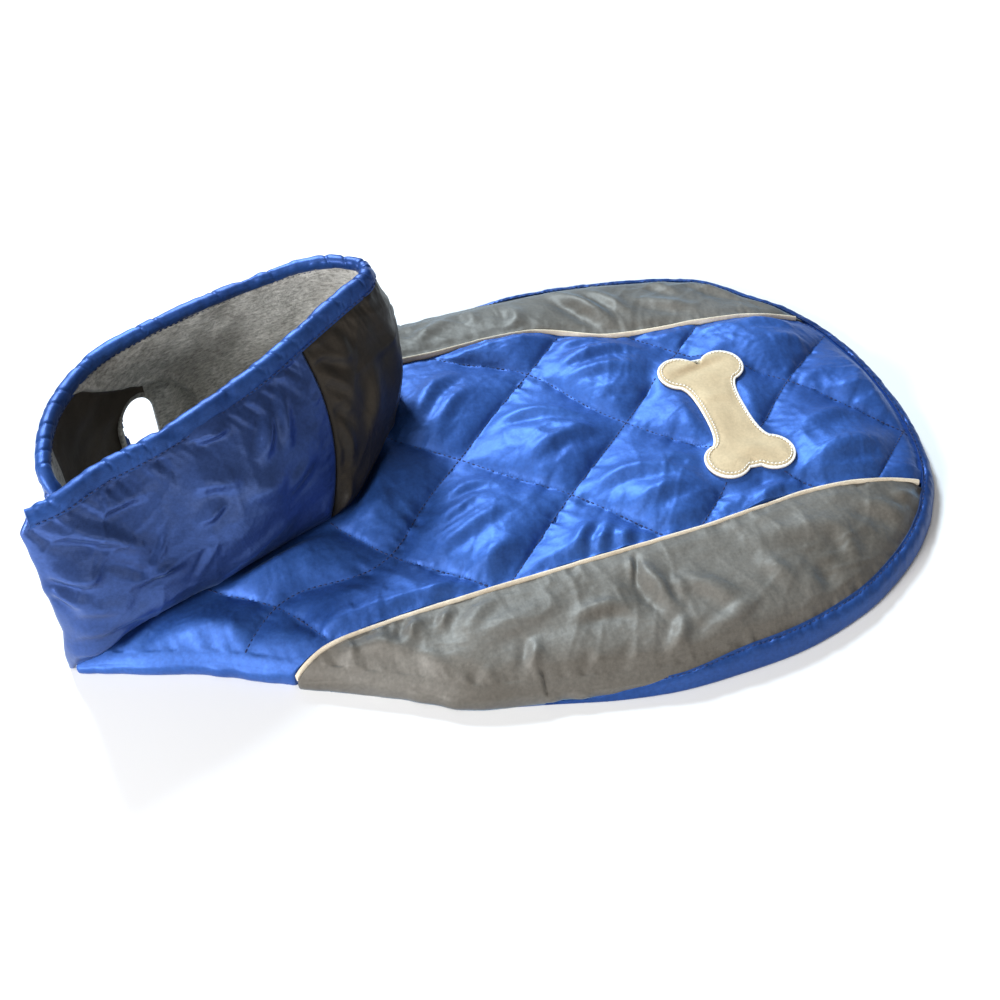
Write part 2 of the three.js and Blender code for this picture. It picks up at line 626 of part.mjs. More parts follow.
// Point of the collar at a station, a share of its height, and a depth inward
function collarPlan(at, column) {
  return new THREE.Vector2(collarAt(at, `${column}X`), collarAt(at, `${column}Y`));
}
function collarOutward(at, up) {
  const along = (t) => collarPlan(t, 'foot').lerp(collarPlan(t, 'rim'), up);
  const run = along(Math.min(at + 0.1, COLLAR_END)).sub(along(Math.max(at - 0.1, 0)));
  return new THREE.Vector2(run.y, -run.x).normalize();
}
const BULGE_SKEW = 0.75;
function collarPoint(at, up, depth) {
  const out = collarOutward(at, up);
  const plan = collarPlan(at, 'foot').lerp(collarPlan(at, 'rim'), up);
  const fullness = Math.sin(Math.PI * up ** BULGE_SKEW);
  plan.addScaledVector(out, collarAt(at, 'bulge') * fullness - depth);
  plan.addScaledVector(new THREE.Vector2(-out.y, out.x), collarAt(at, 'sway') * Math.sin(Math.PI * up));
  const seat = quiltTop(plan.x, plan.y) + COLLAR_SEAT;
  return new THREE.Vector3(plan.x, plan.y, lerp(seat, collarAt(at, 'rimZ'), up));
}
function collarWall(from, to, stations, levels, outer, inner) {
  const point = (i, j, depth) => collarPoint(lerp(from, to, i / stations), j / levels, depth);
  return shell(stations, levels, (i, j) => point(i, j, outer), (i, j) => point(i, j, inner));
}
const LINING_OUT = SHELL_WALL + LINING_GAP;
const LINING_IN = LINING_OUT + LINING_WALL;
const STATION_GAP = 0.012;
const LINING_START = 0.45;
const nearFlap = collarWall(0, SEAM_NEAR - STATION_GAP, 20, 8, 0, SHELL_WALL);
const gusset = collarWall(SEAM_NEAR + STATION_GAP, SEAM_FAR - STATION_GAP, 24, 8, 0, SHELL_WALL);
const farFlap = collarWall(SEAM_FAR + STATION_GAP, COLLAR_END, 26, 8, 0, SHELL_WALL);
const lining = collarWall(LINING_START, COLLAR_END, 60, 5, LINING_OUT, LINING_IN);

// Arched leg opening through the far side, open at the foot
function legOpeningTool() {
  const arch = new THREE.Shape();
  const { halfWidth, top, shoulder, below, farY, depth } = LEG_OPENING;
  arch.moveTo(-halfWidth, -below);
  arch.lineTo(halfWidth, -below);
  arch.lineTo(halfWidth, top - shoulder);
  arch.quadraticCurveTo(halfWidth, top, 0, top);
  arch.quadraticCurveTo(-halfWidth, top, -halfWidth, top - shoulder);
  arch.closePath();
  const tool = new THREE.ExtrudeGeometry(arch, { depth, bevelEnabled: false, curveSegments: 5 });
  tool.rotateX(Math.PI / 2);
  tool.translate(LEG_OPENING.x, farY, 0);
  return tool;
}
add('collar_near_flap', nearFlap, 'navy');
add('collar_gusset', gusset, 'olive');
add('collar_far_flap', cut(farFlap, legOpeningTool()), 'navy');
add('collar_lining', cut(lining, legOpeningTool()), 'fleece');

// Fleece floor inside the neck ring, on the shoulder
const FLOOR_ROWS = [
  { x: -246, near: -12, far: 30 },
  { x: -228, near: -14, far: 56 },
  { x: -200, near: -20, far: 82 },
  { x: -160, near: -4, far: 108 },
  { x: -125, near: 12, far: 124 },
  { x: -100, near: 34, far: 126 },
  { x: -80, near: 66, far: 118 },
];
const FLOOR_GRID = { rows: 16, columns: 8 };
function shoulderLining() {
  const floorAt = tableCurve(FLOOR_ROWS, 'x');
  const { rows, columns } = FLOOR_GRID;
  const point = (i, j, rise) => {
    const x = lerp(FLOOR_ROWS[0].x, FLOOR_ROWS[FLOOR_ROWS.length - 1].x, i / rows);
    const y = lerp(floorAt(x, 'near'), floorAt(x, 'far'), j / columns);
    return new THREE.Vector3(x, y, quiltTop(x, y) + COLLAR_SEAT + rise);
  };
  return shell(rows, columns, (i, j) => point(i, j, LINING_WALL), (i, j) => point(i, j, 0));
}
add('shoulder_lining', shoulderLining(), 'fleece');

// Binding folded over the rim of shell and lining
const WALL_HEIGHT = 112;
const RIM_COLUMNS = [
  { out: 1, rise: -RIM_COVER },
  { out: 1, rise: -3 },
  { out: 1, rise: 0.5 },
  { out: 0.55, rise: 1.5 },
  { out: -0.55, rise: 1.5 },
  { out: -1, rise: 0.5 },
  { out: -1, rise: -3 },
  { out: -1, rise: -RIM_COVER },
];
function rimBinding(from, to, stations) {
  const half = LINING_IN / 2;
  const point = (i, j, cloth) => {
    const at = lerp(from, to, i / stations);
    const column = RIM_COLUMNS[j];
    const up = 1 + Math.min(column.rise, 0) / WALL_HEIGHT;
    const width = half + SEAM_GAP + RIM_EASE + (cloth ? BINDING_CLOTH : 0);
    const p = collarPoint(at, up, half - column.out * width);
    if (column.rise > 0) p.z += SEAM_GAP + column.rise + (cloth ? BINDING_CLOTH : 0);
    return p;
  };
  const columns = RIM_COLUMNS.length - 1;
  return shell(stations, columns, (i, j) => point(i, j, true), (i, j) => point(i, j, false));
}
add('collar_binding', rimBinding(0, COLLAR_END, 60), 'blue');

export default coat;
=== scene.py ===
import math

import bmesh
import bpy
import numpy as np
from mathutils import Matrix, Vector


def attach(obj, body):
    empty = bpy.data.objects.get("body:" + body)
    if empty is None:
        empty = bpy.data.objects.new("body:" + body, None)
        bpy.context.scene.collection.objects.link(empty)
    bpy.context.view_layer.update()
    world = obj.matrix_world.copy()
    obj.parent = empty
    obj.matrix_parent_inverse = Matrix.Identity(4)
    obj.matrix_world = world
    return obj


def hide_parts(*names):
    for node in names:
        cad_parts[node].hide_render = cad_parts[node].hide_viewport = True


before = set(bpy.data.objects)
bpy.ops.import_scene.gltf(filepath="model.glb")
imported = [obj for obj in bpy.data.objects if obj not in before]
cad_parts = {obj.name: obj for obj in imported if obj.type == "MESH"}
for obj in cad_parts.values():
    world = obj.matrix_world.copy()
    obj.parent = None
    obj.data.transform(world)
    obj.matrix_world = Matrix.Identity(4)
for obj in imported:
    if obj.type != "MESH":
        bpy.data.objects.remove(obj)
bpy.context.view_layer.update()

# The coat's own measures are in millimetres in its plan frame: x toward the
# tail, y toward the far side, z up. The frame is in metres about PLAN_CENTRE.
MM = 0.001
PLAN_CENTRE = np.array([4.1, 8.2, 0.0])


def table(columns, *rows):
    """Rows of numbers under named columns, as one array for each column."""
    return {name: np.array(values, float) for name, values in zip(columns.split(), zip(*rows))}


def row_of(rows, k):
    """One row of a table, as a number for each column."""
    return {name: values[k] for name, values in rows.items()}


# Sizes shared with the solids
SEAM_GAP = 0.3
PIPING_WIDTH = 3.2
PIPING_RISE = 2.4
BINDING_COVER = 9.0
TAPE_CLOTH = 1.3
BINDING_PRESS = 1.9
EDGE_INSET = 2.8
SEAM_HALF = PIPING_WIDTH / 2 + SEAM_GAP
SHELL_WALL = 5.0
LINING_OUT = 5.7
LINING_IN = 8.2
COLLAR_SEAT = 0.9
WALL_HEIGHT = 112.0
MIDDLE_Y = 7.5
BOUND_FROM = -22.0
FAR_SEAM_START = -153.0
NEAR_SEAM_START = -158.0
NEAR_SEAM_SHOWN = -150.0
TAPE_START_X = -64.0
TAPE_FULL_X = 66.0
OUTLINE_STEP = 5
DOME_BEND_NEAR = 2.0
DOME_BEND_FAR = 1.6
DOME_BLEND = 60.0
CLOTH_UNDER = 4.0
TAPE_UNDER = 1.8
LEG_OPENING = {"x": -216.0, "half_width": 12.0, "top": 74.0, "shoulder": 20.0, "near_y": 60.0}

EDGES = table(
    "x near far",
    (-282, -58, -30), (-276, -62, 14), (-262, -66, 54), (-240, -74, 86), (-205, -85, 112),
    (-165, -104, 142), (-125, -124, 162), (-94, -138, 172), (-60, -155, 179), (-10, -164, 186),
    (50, -174, 190), (90, -174, 191), (140, -169, 186), (186, -155, 177), (216, -139, 165),
    (242, -120, 139), (260, -102, 122),
)
TAIL = table(
    "y x",
    (-102, 260), (-72, 279), (-32, 290), (10, 293), (53, 289), (90, 278), (122, 260),
)
PIPING = table(
    "x near far",
    (-158, -107, 142), (-137, -99, 146), (-108, -94, 142), (-70, -90, 130), (-20, -87, 127),
    (30, -84, 130), (66, -82, 128), (115, -79, 108), (180, -72, 104), (226, -73, 103), (286, -82, 90),
)
HEIGHTS = table(
    "x plateau edge near_reach far_reach",
    (-282, 9, 3, 20, 20), (-240, 17, 3, 24, 24), (-180, 21, 3, 26, 30), (-90, 22, 4, 30, 40),
    (0, 23, 5, 34, 56), (120, 24, 6, 48, 66), (220, 24, 6, 74, 80), (293, 24, 6, 84, 84),
)
COVERS = table("x near far", (-12, .12, .2), (20, .25, .35), (60, .5, .8), (110, 1, 1), (293, 1, 1))
COLLAR = table(
    "at foot_x foot_y rim_x rim_y rim_z bulge sway",
    (0, -285, -52, -275, -44, 121, 5, 0), (1, -262, -55, -255, -39, 124, 10, 0),
    (2, -235, -48, -232, -26, 126, 13, 0), (3, -200, -37, -200, -14, 128, 14, 0),
    (4, -165, -25, -165, 6, 129, 13, 2), (5, -137, -14, -134, 25, 131, 10, 6),
    (6, -112, -5, -111, 42, 133, 6, 9), (7, -97, 5, -89, 59, 135, 9, 6),
    (8, -83, 27, -73, 70, 137, 13, 2), (9, -70, 51, -62, 77, 138, 15, 0),
    (10, -60, 76, -56, 85, 138, 15, 0), (11, -56, 99, -56, 94, 137, 13, 0),
    (12, -60, 120, -62, 104, 136, 10, 0), (13, -77, 133, -79, 114, 134, 7, 0),
    (14, -98, 138, -99, 117, 132, 6, 0), (15, -121, 136, -119, 115, 130, 5, 0),
    (16, -150, 127, -147, 109, 128, 8, 0), (17, -182, 112, -179, 100, 126, 8, 0),
    (18, -208, 96, -208, 90, 124, 6, 0), (19, -231, 79, -231, 78, 123, 3, 0),
    (20, -249, 58, -248, 60, 122, 2, 0), (21, -261, 34, -261, 37, 122, 2, 0),
    (22, -266, 8, -268, 10, 121, 2, 0), (23, -264, -14, -268, -13, 119, 2, 0),
    (24, -252, -27, -257, -25, 108, 2, 0), (25, -228, -25, -232, -18, 96, 2, 0),
)
SEAM_NEAR = 6
SEAM_FAR = 15
COLLAR_END = 25
FLOOR = table(
    "x near far",
    (-256, -6, 23), (-252, -14, 37), (-246, -18, 50), (-238, -20, 62), (-228, -20, 72),
    (-200, -24, 91), (-160, -10, 113), (-125, 6, 128), (-100, 22, 131), (-84, 42, 127),
    (-75, 64, 121), (-70, 80, 113),
)
BONE = {
    "x": 160.0, "y": 7.0, "turn": 89.0, "half_length": 58.0, "lobe": 15.0, "lobe_out": 15.5,
    "shaft": 15.5, "waist": 14.8, "notch_angle": -50.0, "shaft_angle": 162.0,
}


def lerp(a, b, t):
    """The value a share t of the way from a to b."""
    return a + (b - a) * t


def smooth(low, high, value):
    """Rises gently from 0 to 1 as a value goes from low to high."""
    t = np.clip((value - low) / (high - low), 0, 1)
    return t * t * (3 - 2 * t)


def curve(rows, key):
    """Smooth curve through a table's columns, over the column key."""
    at = rows[key]

    def value(t, column):
        v = rows[column]
        slope = np.empty_like(v)
        slope[1:-1] = (v[2:] - v[:-2]) / (at[2:] - at[:-2])
        slope[0] = (v[1] - v[0]) / (at[1] - at[0])
        slope[-1] = (v[-1] - v[-2]) / (at[-1] - at[-2])
        t = np.clip(t, at[0], at[-1])
        i = np.clip(np.searchsorted(at, t, side="right") - 1, 0, len(at) - 2)
        span = at[i + 1] - at[i]
        s = (t - at[i]) / span
        h = s * s * (3 - 2 * s)
        rise = s * (1 - s) ** 2 * span * slope[i] - s * s * (1 - s) * span * slope[i + 1]
        return v[i] * (1 - h) + v[i + 1] * h + rise

    return value


edge_at = curve(EDGES, "x")
tail_at = curve(TAIL, "y")
piping_at = curve(PIPING, "x")
height_at = curve(HEIGHTS, "x")
cover_at = curve(COVERS, "x")
collar_at = curve(COLLAR, "at")
floor_at = curve(FLOOR, "x")
TAIL_START = EDGES["x"][-1]


# The coat in plan
def outline():
    """The coat's outline in plan, as one closed run of points."""
    along = np.arange(EDGES["x"][0], TAIL_START, OUTLINE_STEP)
    across = np.arange(TAIL["y"][0], TAIL["y"][-1], OUTLINE_STEP)
    near = np.stack([along, edge_at(along, "near")], 1)
    tail = np.stack([tail_at(across, "x"), across], 1)
    back = np.arange(TAIL_START, EDGES["x"][0], -OUTLINE_STEP)
    far = np.stack([back, edge_at(back, "far")], 1)
    return np.concatenate([near, tail, far])


def inside_distance(polygon, x, y):
    """Distance in plan from points to a closed run of points, negative outside."""
    best = np.full(np.shape(x), np.inf)
    inside = np.zeros(np.shape(x), bool)
    for (ax, ay), (bx, by) in zip(polygon, np.roll(polygon, -1, 0)):
        dx, dy = bx - ax, by - ay
        t = np.clip(((x - ax) * dx + (y - ay) * dy) / (dx * dx + dy * dy), 0, 1)
        best = np.minimum(best, (x - ax - t * dx) ** 2 + (y - ay - t * dy) ** 2)
        if dy:
            inside ^= ((ay > y) != (by > y)) & (x < ax + dx * (y - ay) / dy)
    return np.where(inside, np.sqrt(best), -np.sqrt(best))


OUTLINE = outline()
COLLAR_FOOT = np.stack([COLLAR["foot_x"], COLLAR["foot_y"]], 1)[:-2]


def edge_distance(x, y):
    """Distance in plan to the coat's outline, nothing outside it."""
    return np.maximum(inside_distance(OUTLINE, x, y), 0)


def body_height(x, y, d):
    """Height of the body's smooth dome, d from its edge."""
    side = smooth(-DOME_BLEND, DOME_BLEND, y - MIDDLE_Y)
    reach = lerp(height_at(x, "near_reach"), height_at(x, "far_reach"), side)
    bend = lerp(DOME_BEND_NEAR, DOME_BEND_FAR, side)
    q = np.minimum(d / reach, 1)
    ease = (1 - (1 - q) ** bend) ** (1 / bend)
    edge = height_at(x, "edge")
    return edge + (height_at(x, "plateau") - edge) * ease


def squeezed(x, d):
    """How far the binding presses the cloth along the bound edges."""
    press = BINDING_PRESS * (1 - smooth(BINDING_COVER + 1, BINDING_COVER + 7, d))
    return np.where(x < BOUND_FROM, 0, press)


def underside(x, y, d):
    """The coat's hollow underside, flat on the surface along its edges."""
    opened = smooth(8, 30, d) * smooth(-120, -70, x)
    lifted = (body_height(x, y, d) - CLOTH_UNDER) * opened
    beside_tape = 1 - smooth(BINDING_COVER + 1, 15, d)
    over_binding = np.where(x > BOUND_FROM, TAPE_UNDER * beside_tape, 0)
    return np.maximum(lifted, over_binding)


# Small even variation that every cloth has, from a seeded lattice of numbers
STIR_I = 73856093
STIR_J = 19349663
STIR_SEED = 83492791
STIR_START = 12345
STIR_MIX = 1274126177
LOW_32_BITS = 0xFFFFFFFF
LOW_16_BITS = 0xFFFF
CRUMPLE_LAYERS = table("turn share width", (20, 1, 1), (75, .8, 1), (140, .7, 1), (105, .45, .5))
CRUMPLE_LENGTH = 2.6
CRUMPLE_TOTAL = 2.2
FOLD_COLUMNS = "x0 y0 xm ym x1 y1 width height trough"
FOLD_STEPS = 8
FOLD_REACH = 3.2
TROUGH_AWAY = 1.5
TROUGH_WIDTH = 0.9
FOLD_TAPER = 1.3


def lattice(i, j, seed):
    """A fixed number from -1 to 1 at each place of a square lattice."""
    n = i * STIR_I ^ j * STIR_J ^ (seed * STIR_SEED + STIR_START)
    n = (n ^ (n >> 13)) * STIR_MIX & LOW_32_BITS
    n = n ^ (n >> 15)
    return (n & LOW_16_BITS) / (LOW_16_BITS / 2) - 1


def noise(u, v, seed=0):
    """Smooth noise from -1 to 1, one bump to each unit."""
    u, v = np.broadcast_arrays(u, v)
    iu, iv = np.floor(u), np.floor(v)
    fu, fv = u - iu, v - iv
    su = fu * fu * fu * (fu * (fu * 6 - 15) + 10)
    sv = fv * fv * fv * (fv * (fv * 6 - 15) + 10)
    i, j = iu.astype(np.int64), iv.astype(np.int64)
    low = lerp(lattice(i, j, seed), lattice(i + 1, j, seed), su)
    high = lerp(lattice(i, j + 1, seed), lattice(i + 1, j + 1, seed), su)
    return lerp(low, high, sv)


def crumple(x, y, size, seed):
    """Soft irregular creases, longer than they are wide, turning as they go."""
    total = 0
    for k, (turn, share, width) in enumerate(zip(*CRUMPLE_LAYERS.values())):
        a = math.radians(turn) + 0.5 * noise(x / (5 * size), y / (5 * size), seed + 7 * k)
        along = (x * np.cos(a) + y * np.sin(a)) / (CRUMPLE_LENGTH * size)
        across = (y * np.cos(a) - x * np.sin(a)) / (size * width)
        ridge = 1 - np.abs(noise(along, across, seed + 31 * k)) * 2
        total = total + share * ridge * np.abs(ridge)
    return total / CRUMPLE_TOTAL


def creases(u, v, seed):
    """Narrow valleys between broad swells, down to -1."""
    return -(1 - np.abs(noise(u, v, seed))) ** 5


def puckers(along, away, pitch, reach, seed):
    """Short gathers square to a seam: along it, and dying out away from it."""
    drift = 0.4 * noise(along / 40, 0 * along, seed)
    wave = noise(along / pitch, away / (3 * reach) + drift, seed)
    wave = wave + 0.5 * noise(along / (pitch * 0.47), away / (2 * reach), seed + 5)
    swing = 0.65 + 0.6 * noise(along / (7 * pitch), 0 * along + 3.5, seed + 9)
    return wave * swing * np.exp(-away / reach) * smooth(0, 1.6, away)


def folds(x, y, rows):
    """Soft ridges laid along curves; a share of each is a trough on one side."""
    field = np.zeros(np.shape(x))
    t = np.linspace(0, 1, FOLD_STEPS + 1)
    for k in range(len(rows["x0"])):
        r = row_of(rows, k)
        cx = (1 - t) ** 2 * r["x0"] + 2 * t * (1 - t) * r["xm"] + t * t * r["x1"]
        cy = (1 - t) ** 2 * r["y0"] + 2 * t * (1 - t) * r["ym"] + t * t * r["y1"]
        reach = FOLD_REACH * r["width"]
        near = (x > cx.min() - reach) & (x < cx.max() + reach)
        near &= (y > cy.min() - reach) & (y < cy.max() + reach)
        px, py = x[near], y[near]
        best = np.full(px.shape, np.inf)
        where = np.zeros(px.shape)
        side = np.zeros(px.shape)
        for i in range(FOLD_STEPS):
            dx, dy = cx[i + 1] - cx[i], cy[i + 1] - cy[i]
            s = np.clip(((px - cx[i]) * dx + (py - cy[i]) * dy) / (dx * dx + dy * dy), 0, 1)
            ox, oy = px - cx[i] - s * dx, py - cy[i] - s * dy
            gap = ox * ox + oy * oy
            nearer = gap < best
            best = np.where(nearer, gap, best)
            where = np.where(nearer, (i + s) / FOLD_STEPS, where)
            side = np.where(nearer, np.sign(dx * oy - dy * ox), side)
        off = np.sqrt(best) * side / r["width"]
        trough = r["trough"] * np.exp(-((off + TROUGH_AWAY) / TROUGH_WIDTH) ** 2)
        profile = np.exp(-off * off) - trough
        taper = np.sin(np.pi * where) ** FOLD_TAPER
        field[near] += r["height"] * profile * taper
    return field


# Quilting
QUILT_PITCH_X = 60.0
QUILT_PITCH_Y = 56.0
QUILT_ORIGIN = (35.0, 190.0)
QUILT_SINK = 1.3
QUILT_LOFT = 11.0
QUILT_LEAN = 1.3
QUILT_VALLEY = 0.035
QUILT_FULLNESS = 0.6
QUILT_FLAT = 1.5
SEAT_LOFT = 6.5
SEAT_VALLEY = 0.16
SEAT_FULLNESS = 0.5
BONE_RISE = 4.0
BONE_PRESS_FADE = 13.0
SIDE_LOFT = 2.0
FREE_OF_EDGE = (9, 26)
SIDE_FREE_OF_EDGE = (7, 22)
QUILT_SIDE = math.hypot(QUILT_PITCH_X, QUILT_PITCH_Y)
SHIFT_ROUNDS = 12
QUILT_SHIFTS = table(
    "x y dx dy radius",
    (47, 88, -12, -10, 45), (-158, -62, 13, -28, 45), (-83, -44, -2, 10, 40),
    (-195, -108, 7, -20, 35), (37, -34, -4, -6, 45), (-22, 17, -4, -1, 40), (216, 22, -3, -7, 45),
)


def quilt_shift(x, y):
    """How far the seams stray from an even lattice at a point."""
    dx, dy = 0 * x, 0 * y
    for k in range(len(QUILT_SHIFTS["x"])):
        s = row_of(QUILT_SHIFTS, k)
        fade = np.exp(-((x - s["x"]) ** 2 + (y - s["y"]) ** 2) / s["radius"] ** 2)
        dx, dy = dx + s["dx"] * fade, dy + s["dy"] * fade
    return dx, dy


def quilt_lattice(x, y):
    """Places in the diamond lattice: its seams are where either is whole."""
    dx, dy = quilt_shift(x, y)
    across = (x + dx - QUILT_ORIGIN[0]) / QUILT_PITCH_X
    down = (QUILT_ORIGIN[1] - y - dy) / QUILT_PITCH_Y
    return (down + across) / 2, (down - across) / 2


def quilt_point(a, b):
    """The plan point at a place in the lattice."""
    u = QUILT_ORIGIN[0] + (a - b) * QUILT_PITCH_X
    v = QUILT_ORIGIN[1] - (a + b) * QUILT_PITCH_Y
    x, y = u, v
    for _ in range(SHIFT_ROUNDS):
        dx, dy = quilt_shift(x, y)
        x, y = u - dx, v - dy
    return x, y


def leaning(place):
    """Moves each puff's crown toward the near side of its diamond."""
    return np.floor(place) + (place - np.floor(place)) ** QUILT_LEAN


def quilt_puff(a, b, valley, fullness):
    """Share of its full height that a diamond's wadding reaches at a place."""
    soft_a = np.sqrt(np.sin(np.pi * a) ** 2 + valley ** 2) - valley
    soft_b = np.sqrt(np.sin(np.pi * b) ** 2 + valley ** 2) - valley
    return (soft_a * soft_b) ** fullness / (1 - valley)


def bone_frame(x, y):
    """Distances along and across the bone applique's middle line."""
    turn = math.radians(BONE["turn"])
    dx, dy = x - BONE["x"], y - BONE["y"]
    return dx * math.cos(turn) + dy * math.sin(turn), dy * math.cos(turn) - dx * math.sin(turn)


def bone_press(x, y):
    """One under the applique, falling to nothing beside it."""
    along, across = bone_frame(x, y)
    return smooth(-BONE_PRESS_FADE, 1, inside_distance(BONE_OUTLINE, along, across))


def collar_press(x, y):
    """One under the collar, falling to nothing beside its foot."""
    return smooth(-12, -2, inside_distance(COLLAR_FOOT, x, y))


def bone_outline(steps):
    """The applique's outline, from the end notch round each lobe to the waist."""
    lobe_along = BONE["half_length"] - BONE["lobe"]
    angle = np.radians(np.linspace(BONE["notch_angle"], BONE["shaft_angle"], steps))
    lobe = np.stack(
        [lobe_along + BONE["lobe"] * np.cos(angle), BONE["lobe_out"] + BONE["lobe"] * np.sin(angle)], 1
    )
    t = np.linspace(0, 1, steps // 2 + 1)[1:, None]
    end = lobe[-1]
    bend = np.array([lobe_along * 0.55, BONE["shaft"] - 1.0])
    waist = np.array([0.0, BONE["waist"]])
    neck = (1 - t) ** 2 * end + 2 * t * (1 - t) * bend + t * t * waist
    quarter = np.concatenate([lobe, neck])
    half = np.concatenate([quarter, (quarter * (-1, 1))[-2::-1]])
    return np.concatenate([half, (half * (1, -1))[::-1]])


BONE_OUTLINE = bone_outline(14)


# Creases of the quilted back: a curve, then its width, height and trough
BACK_FOLDS = table(
    FOLD_COLUMNS,
    (-6, 42, 28, 60, 74, 30, 5.5, 3.4, .6),
    (16, 2, 50, 24, 84, 20, 6, 3.0, .6),
    (36, 30, 55, 28, 72, 12, 4.5, 1.8, .4),
    (60, 102, 90, 113, 120, 100, 5, 2.6, .6),
    (60, 83, 98, 95, 132, 87, 5.5, 3.0, .6),
    (60, 70, 95, 77, 132, 60, 5, 2.2, .5),
    (84, 52, 105, 52, 118, 42, 4, 1.6, .4),
    (-42, 44, -36, 90, 8, 102, 7, 3.4, .5),
    (-40, 30, -20, 70, 9, 84, 6, 2.8, .4),
    (-22, 108, 4, 118, 30, 112, 6, 1.8, .4),
    (-48, -14, -22, 6, 2, -6, 5, 2.8, .6),
    (-66, -54, -30, -42, 2, -26, 5, 2.0, .5),
    (-58, -30, -36, -26, -20, -12, 4.5, 1.6, .4),
    (-40, -82, -24, -60, -2, -60, 7, 4.2, .7),
    (40, -36, 70, -8, 128, -44, 6.5, 3.2, .5),
    (62, -58, 92, -42, 122, -48, 6, 2.6, .5),
    (20, -82, 34, -60, 48, -54, 5, 3.6, .7),
    (36, -84, 44, -66, 58, -56, 4.5, 2.8, .5),
    (54, -86, 58, -70, 70, -62, 5, 2.6, .5),
    (188, -24, 236, -6, 268, -16, 7, 3.0, .4),
    (186, -56, 222, -42, 266, -44, 7, 3.4, .5),
    (184, -60, 164, -62, 138, -78, 6, 4.4, .7),
    (-100, -58, -84, -50, -72, -78, 6, 2.4, .4),
    (-76, -88, -60, -72, -42, -82, 6, 3.2, .6),
    (104, 34, 128, 54, 152, 24, 6, 2.6, .4),
    (92, -26, 120, -12, 130, -36, 6, 2.4, .4),
    (214, 62, 238, 72, 252, 50, 5, 2.0, .4),
    (198, 38, 226, 22, 256, 36, 6, 2.4, .4),
    (202, 88, 230, 92, 256, 76, 5, 1.8, .4),
    (172, 92, 190, 96, 208, 84, 5, 1.8, .4),
    (-128, -70, -112, -60, -100, -70, 6, 2.2, .4),
    (-150, -92, -132, -84, -118, -88, 6, 2.4, .5),
    (-196, -70, -182, -76, -176, -92, 7, 3.0, .5),
    (-216, -62, -206, -72, -204, -84, 6, 2.8, .5),
    (-96, -14, -80, -8, -70, 4, 6, 2.2, .4),
    (-86, -30, -70, -26, -60, -38, 5, 2.0, .4),
    (232, 4, 252, 12, 278, 6, 6, 2.2, .4),
    (150, 66, 176, 76, 196, 64, 5, 1.6, .4),
    (-24, 8, -14, 20, -2, 22, 5, 1.6, .3),
    (8, -30, 18, -20, 34, -18, 5, 1.8, .4),
)
SIDE_FOLDS = table(
    FOLD_COLUMNS,
    (55, -90, 66, -112, 66, -142, 6.5, 4.4, .5),
    (72, -112, 94, -120, 112, -150, 7, 3.2, .4),
    (-70, -130, -30, -110, 12, -112, 9, 2.6, .3),
    (120, -104, 172, -92, 222, -112, 9, 2.4, .3),
    (208, -84, 222, -96, 246, -108, 7, 2.8, .5),
    (-118, -106, -102, -104, -84, -124, 6, 2.6, .5),
    (60, -86, 57, -100, 51, -113, 2.4, -2.6, .4),
    (73, -112, 78, -122, 75, -134, 4, 2.0, .5),
    (2, -126, 25, -114, 48, -128, 5, 2.4, .6),
    (72, -138, 66, -152, 50, -170, 5, 2.6, .5),
    (76, -151, 97, -150, 120, -138, 5, 2.6, .6),
    (-124, -94, -120, -108, -126, -119, 4, 2.2, .5),
    (-86, -118, -76, -128, -71, -150, 5, 2.4, .5),
    (-28, -92, -50, -102, -62, -124, 6, 2.2, .4),
    (-76, -88, -84, -100, -92, -116, 4, 2.2, .6),
    (-60, -90, -64, -100, -70, -108, 3, 1.8, .6),
    (-17, -128, -22, -142, -30, -156, 4, 2.4, .6),
    (16, -148, 10, -158, 1, -170, 4, 2.6, .6),
    (39, -152, 32, -163, 21, -173, 4, 2.4, .6),
    (-50, -138, -52, -148, -60, -156, 4, 2.4, .6),
    (120, -145, 97, -158, 64, -164, 6, 2.8, .5),
    (155, -120, 172, -132, 165, -156, 7, -2.6, .3),
    (186, -98, 196, -118, 186, -138, 6, 2.0, .4),
    (128, -112, 142, -124, 140, -142, 6, 1.8, .4),
    (232, -86, 246, -92, 262, -90, 4, 2.2, .5),
    (-140, -104, -138, -108, -132, -116, 4, 1.8, .5),
    (88, 178, 112, 146, 122, 112, 7, 4.4, .6),
    (112, 172, 134, 148, 138, 118, 6, 2.4, .5),
    (52, 168, 66, 148, 46, 132, 6, 2.8, .5),
    (148, 144, 168, 128, 194, 118, 6, 2.4, .5),
    (14, 164, -6, 156, -28, 138, 7, 3.0, .5),
    (-40, 172, -48, 158, -70, 148, 7, 2.6, .5),
    (-84, 160, -96, 158, -112, 148, 6, 2.2, .4),
    (196, 158, 214, 140, 232, 126, 6, 2.4, .5),
    (232, 132, 240, 122, 254, 112, 5, 1.8, .4),
    (24, 176, 30, 160, 24, 146, 5, 2.0, .5),
    (164, 168, 176, 154, 186, 140, 6, 2.0, .4),
)


def seam_distance(x, y):
    """Distance to the nearer piping seam in plan."""
    near = np.abs(y - piping_at(x, "near"))
    far = np.abs(y - piping_at(x, "far"))
    near = np.where(x < NEAR_SEAM_SHOWN, np.abs(x - NEAR_SEAM_SHOWN) + near, near)
    far = np.where(x < FAR_SEAM_START, np.abs(x - FAR_SEAM_START) + far, far)
    return np.minimum(near, far)


def edge_gathers(x, y, d, seed):
    """Gathers that the bound or turned edge pulls into the cloth beside it."""
    along = np.where(x > 200, x * 0.4 + y, x + 0.2 * y)
    return puckers(along, d - 8, pitch=5.5, reach=7, seed=seed) * smooth(7, 10, d)


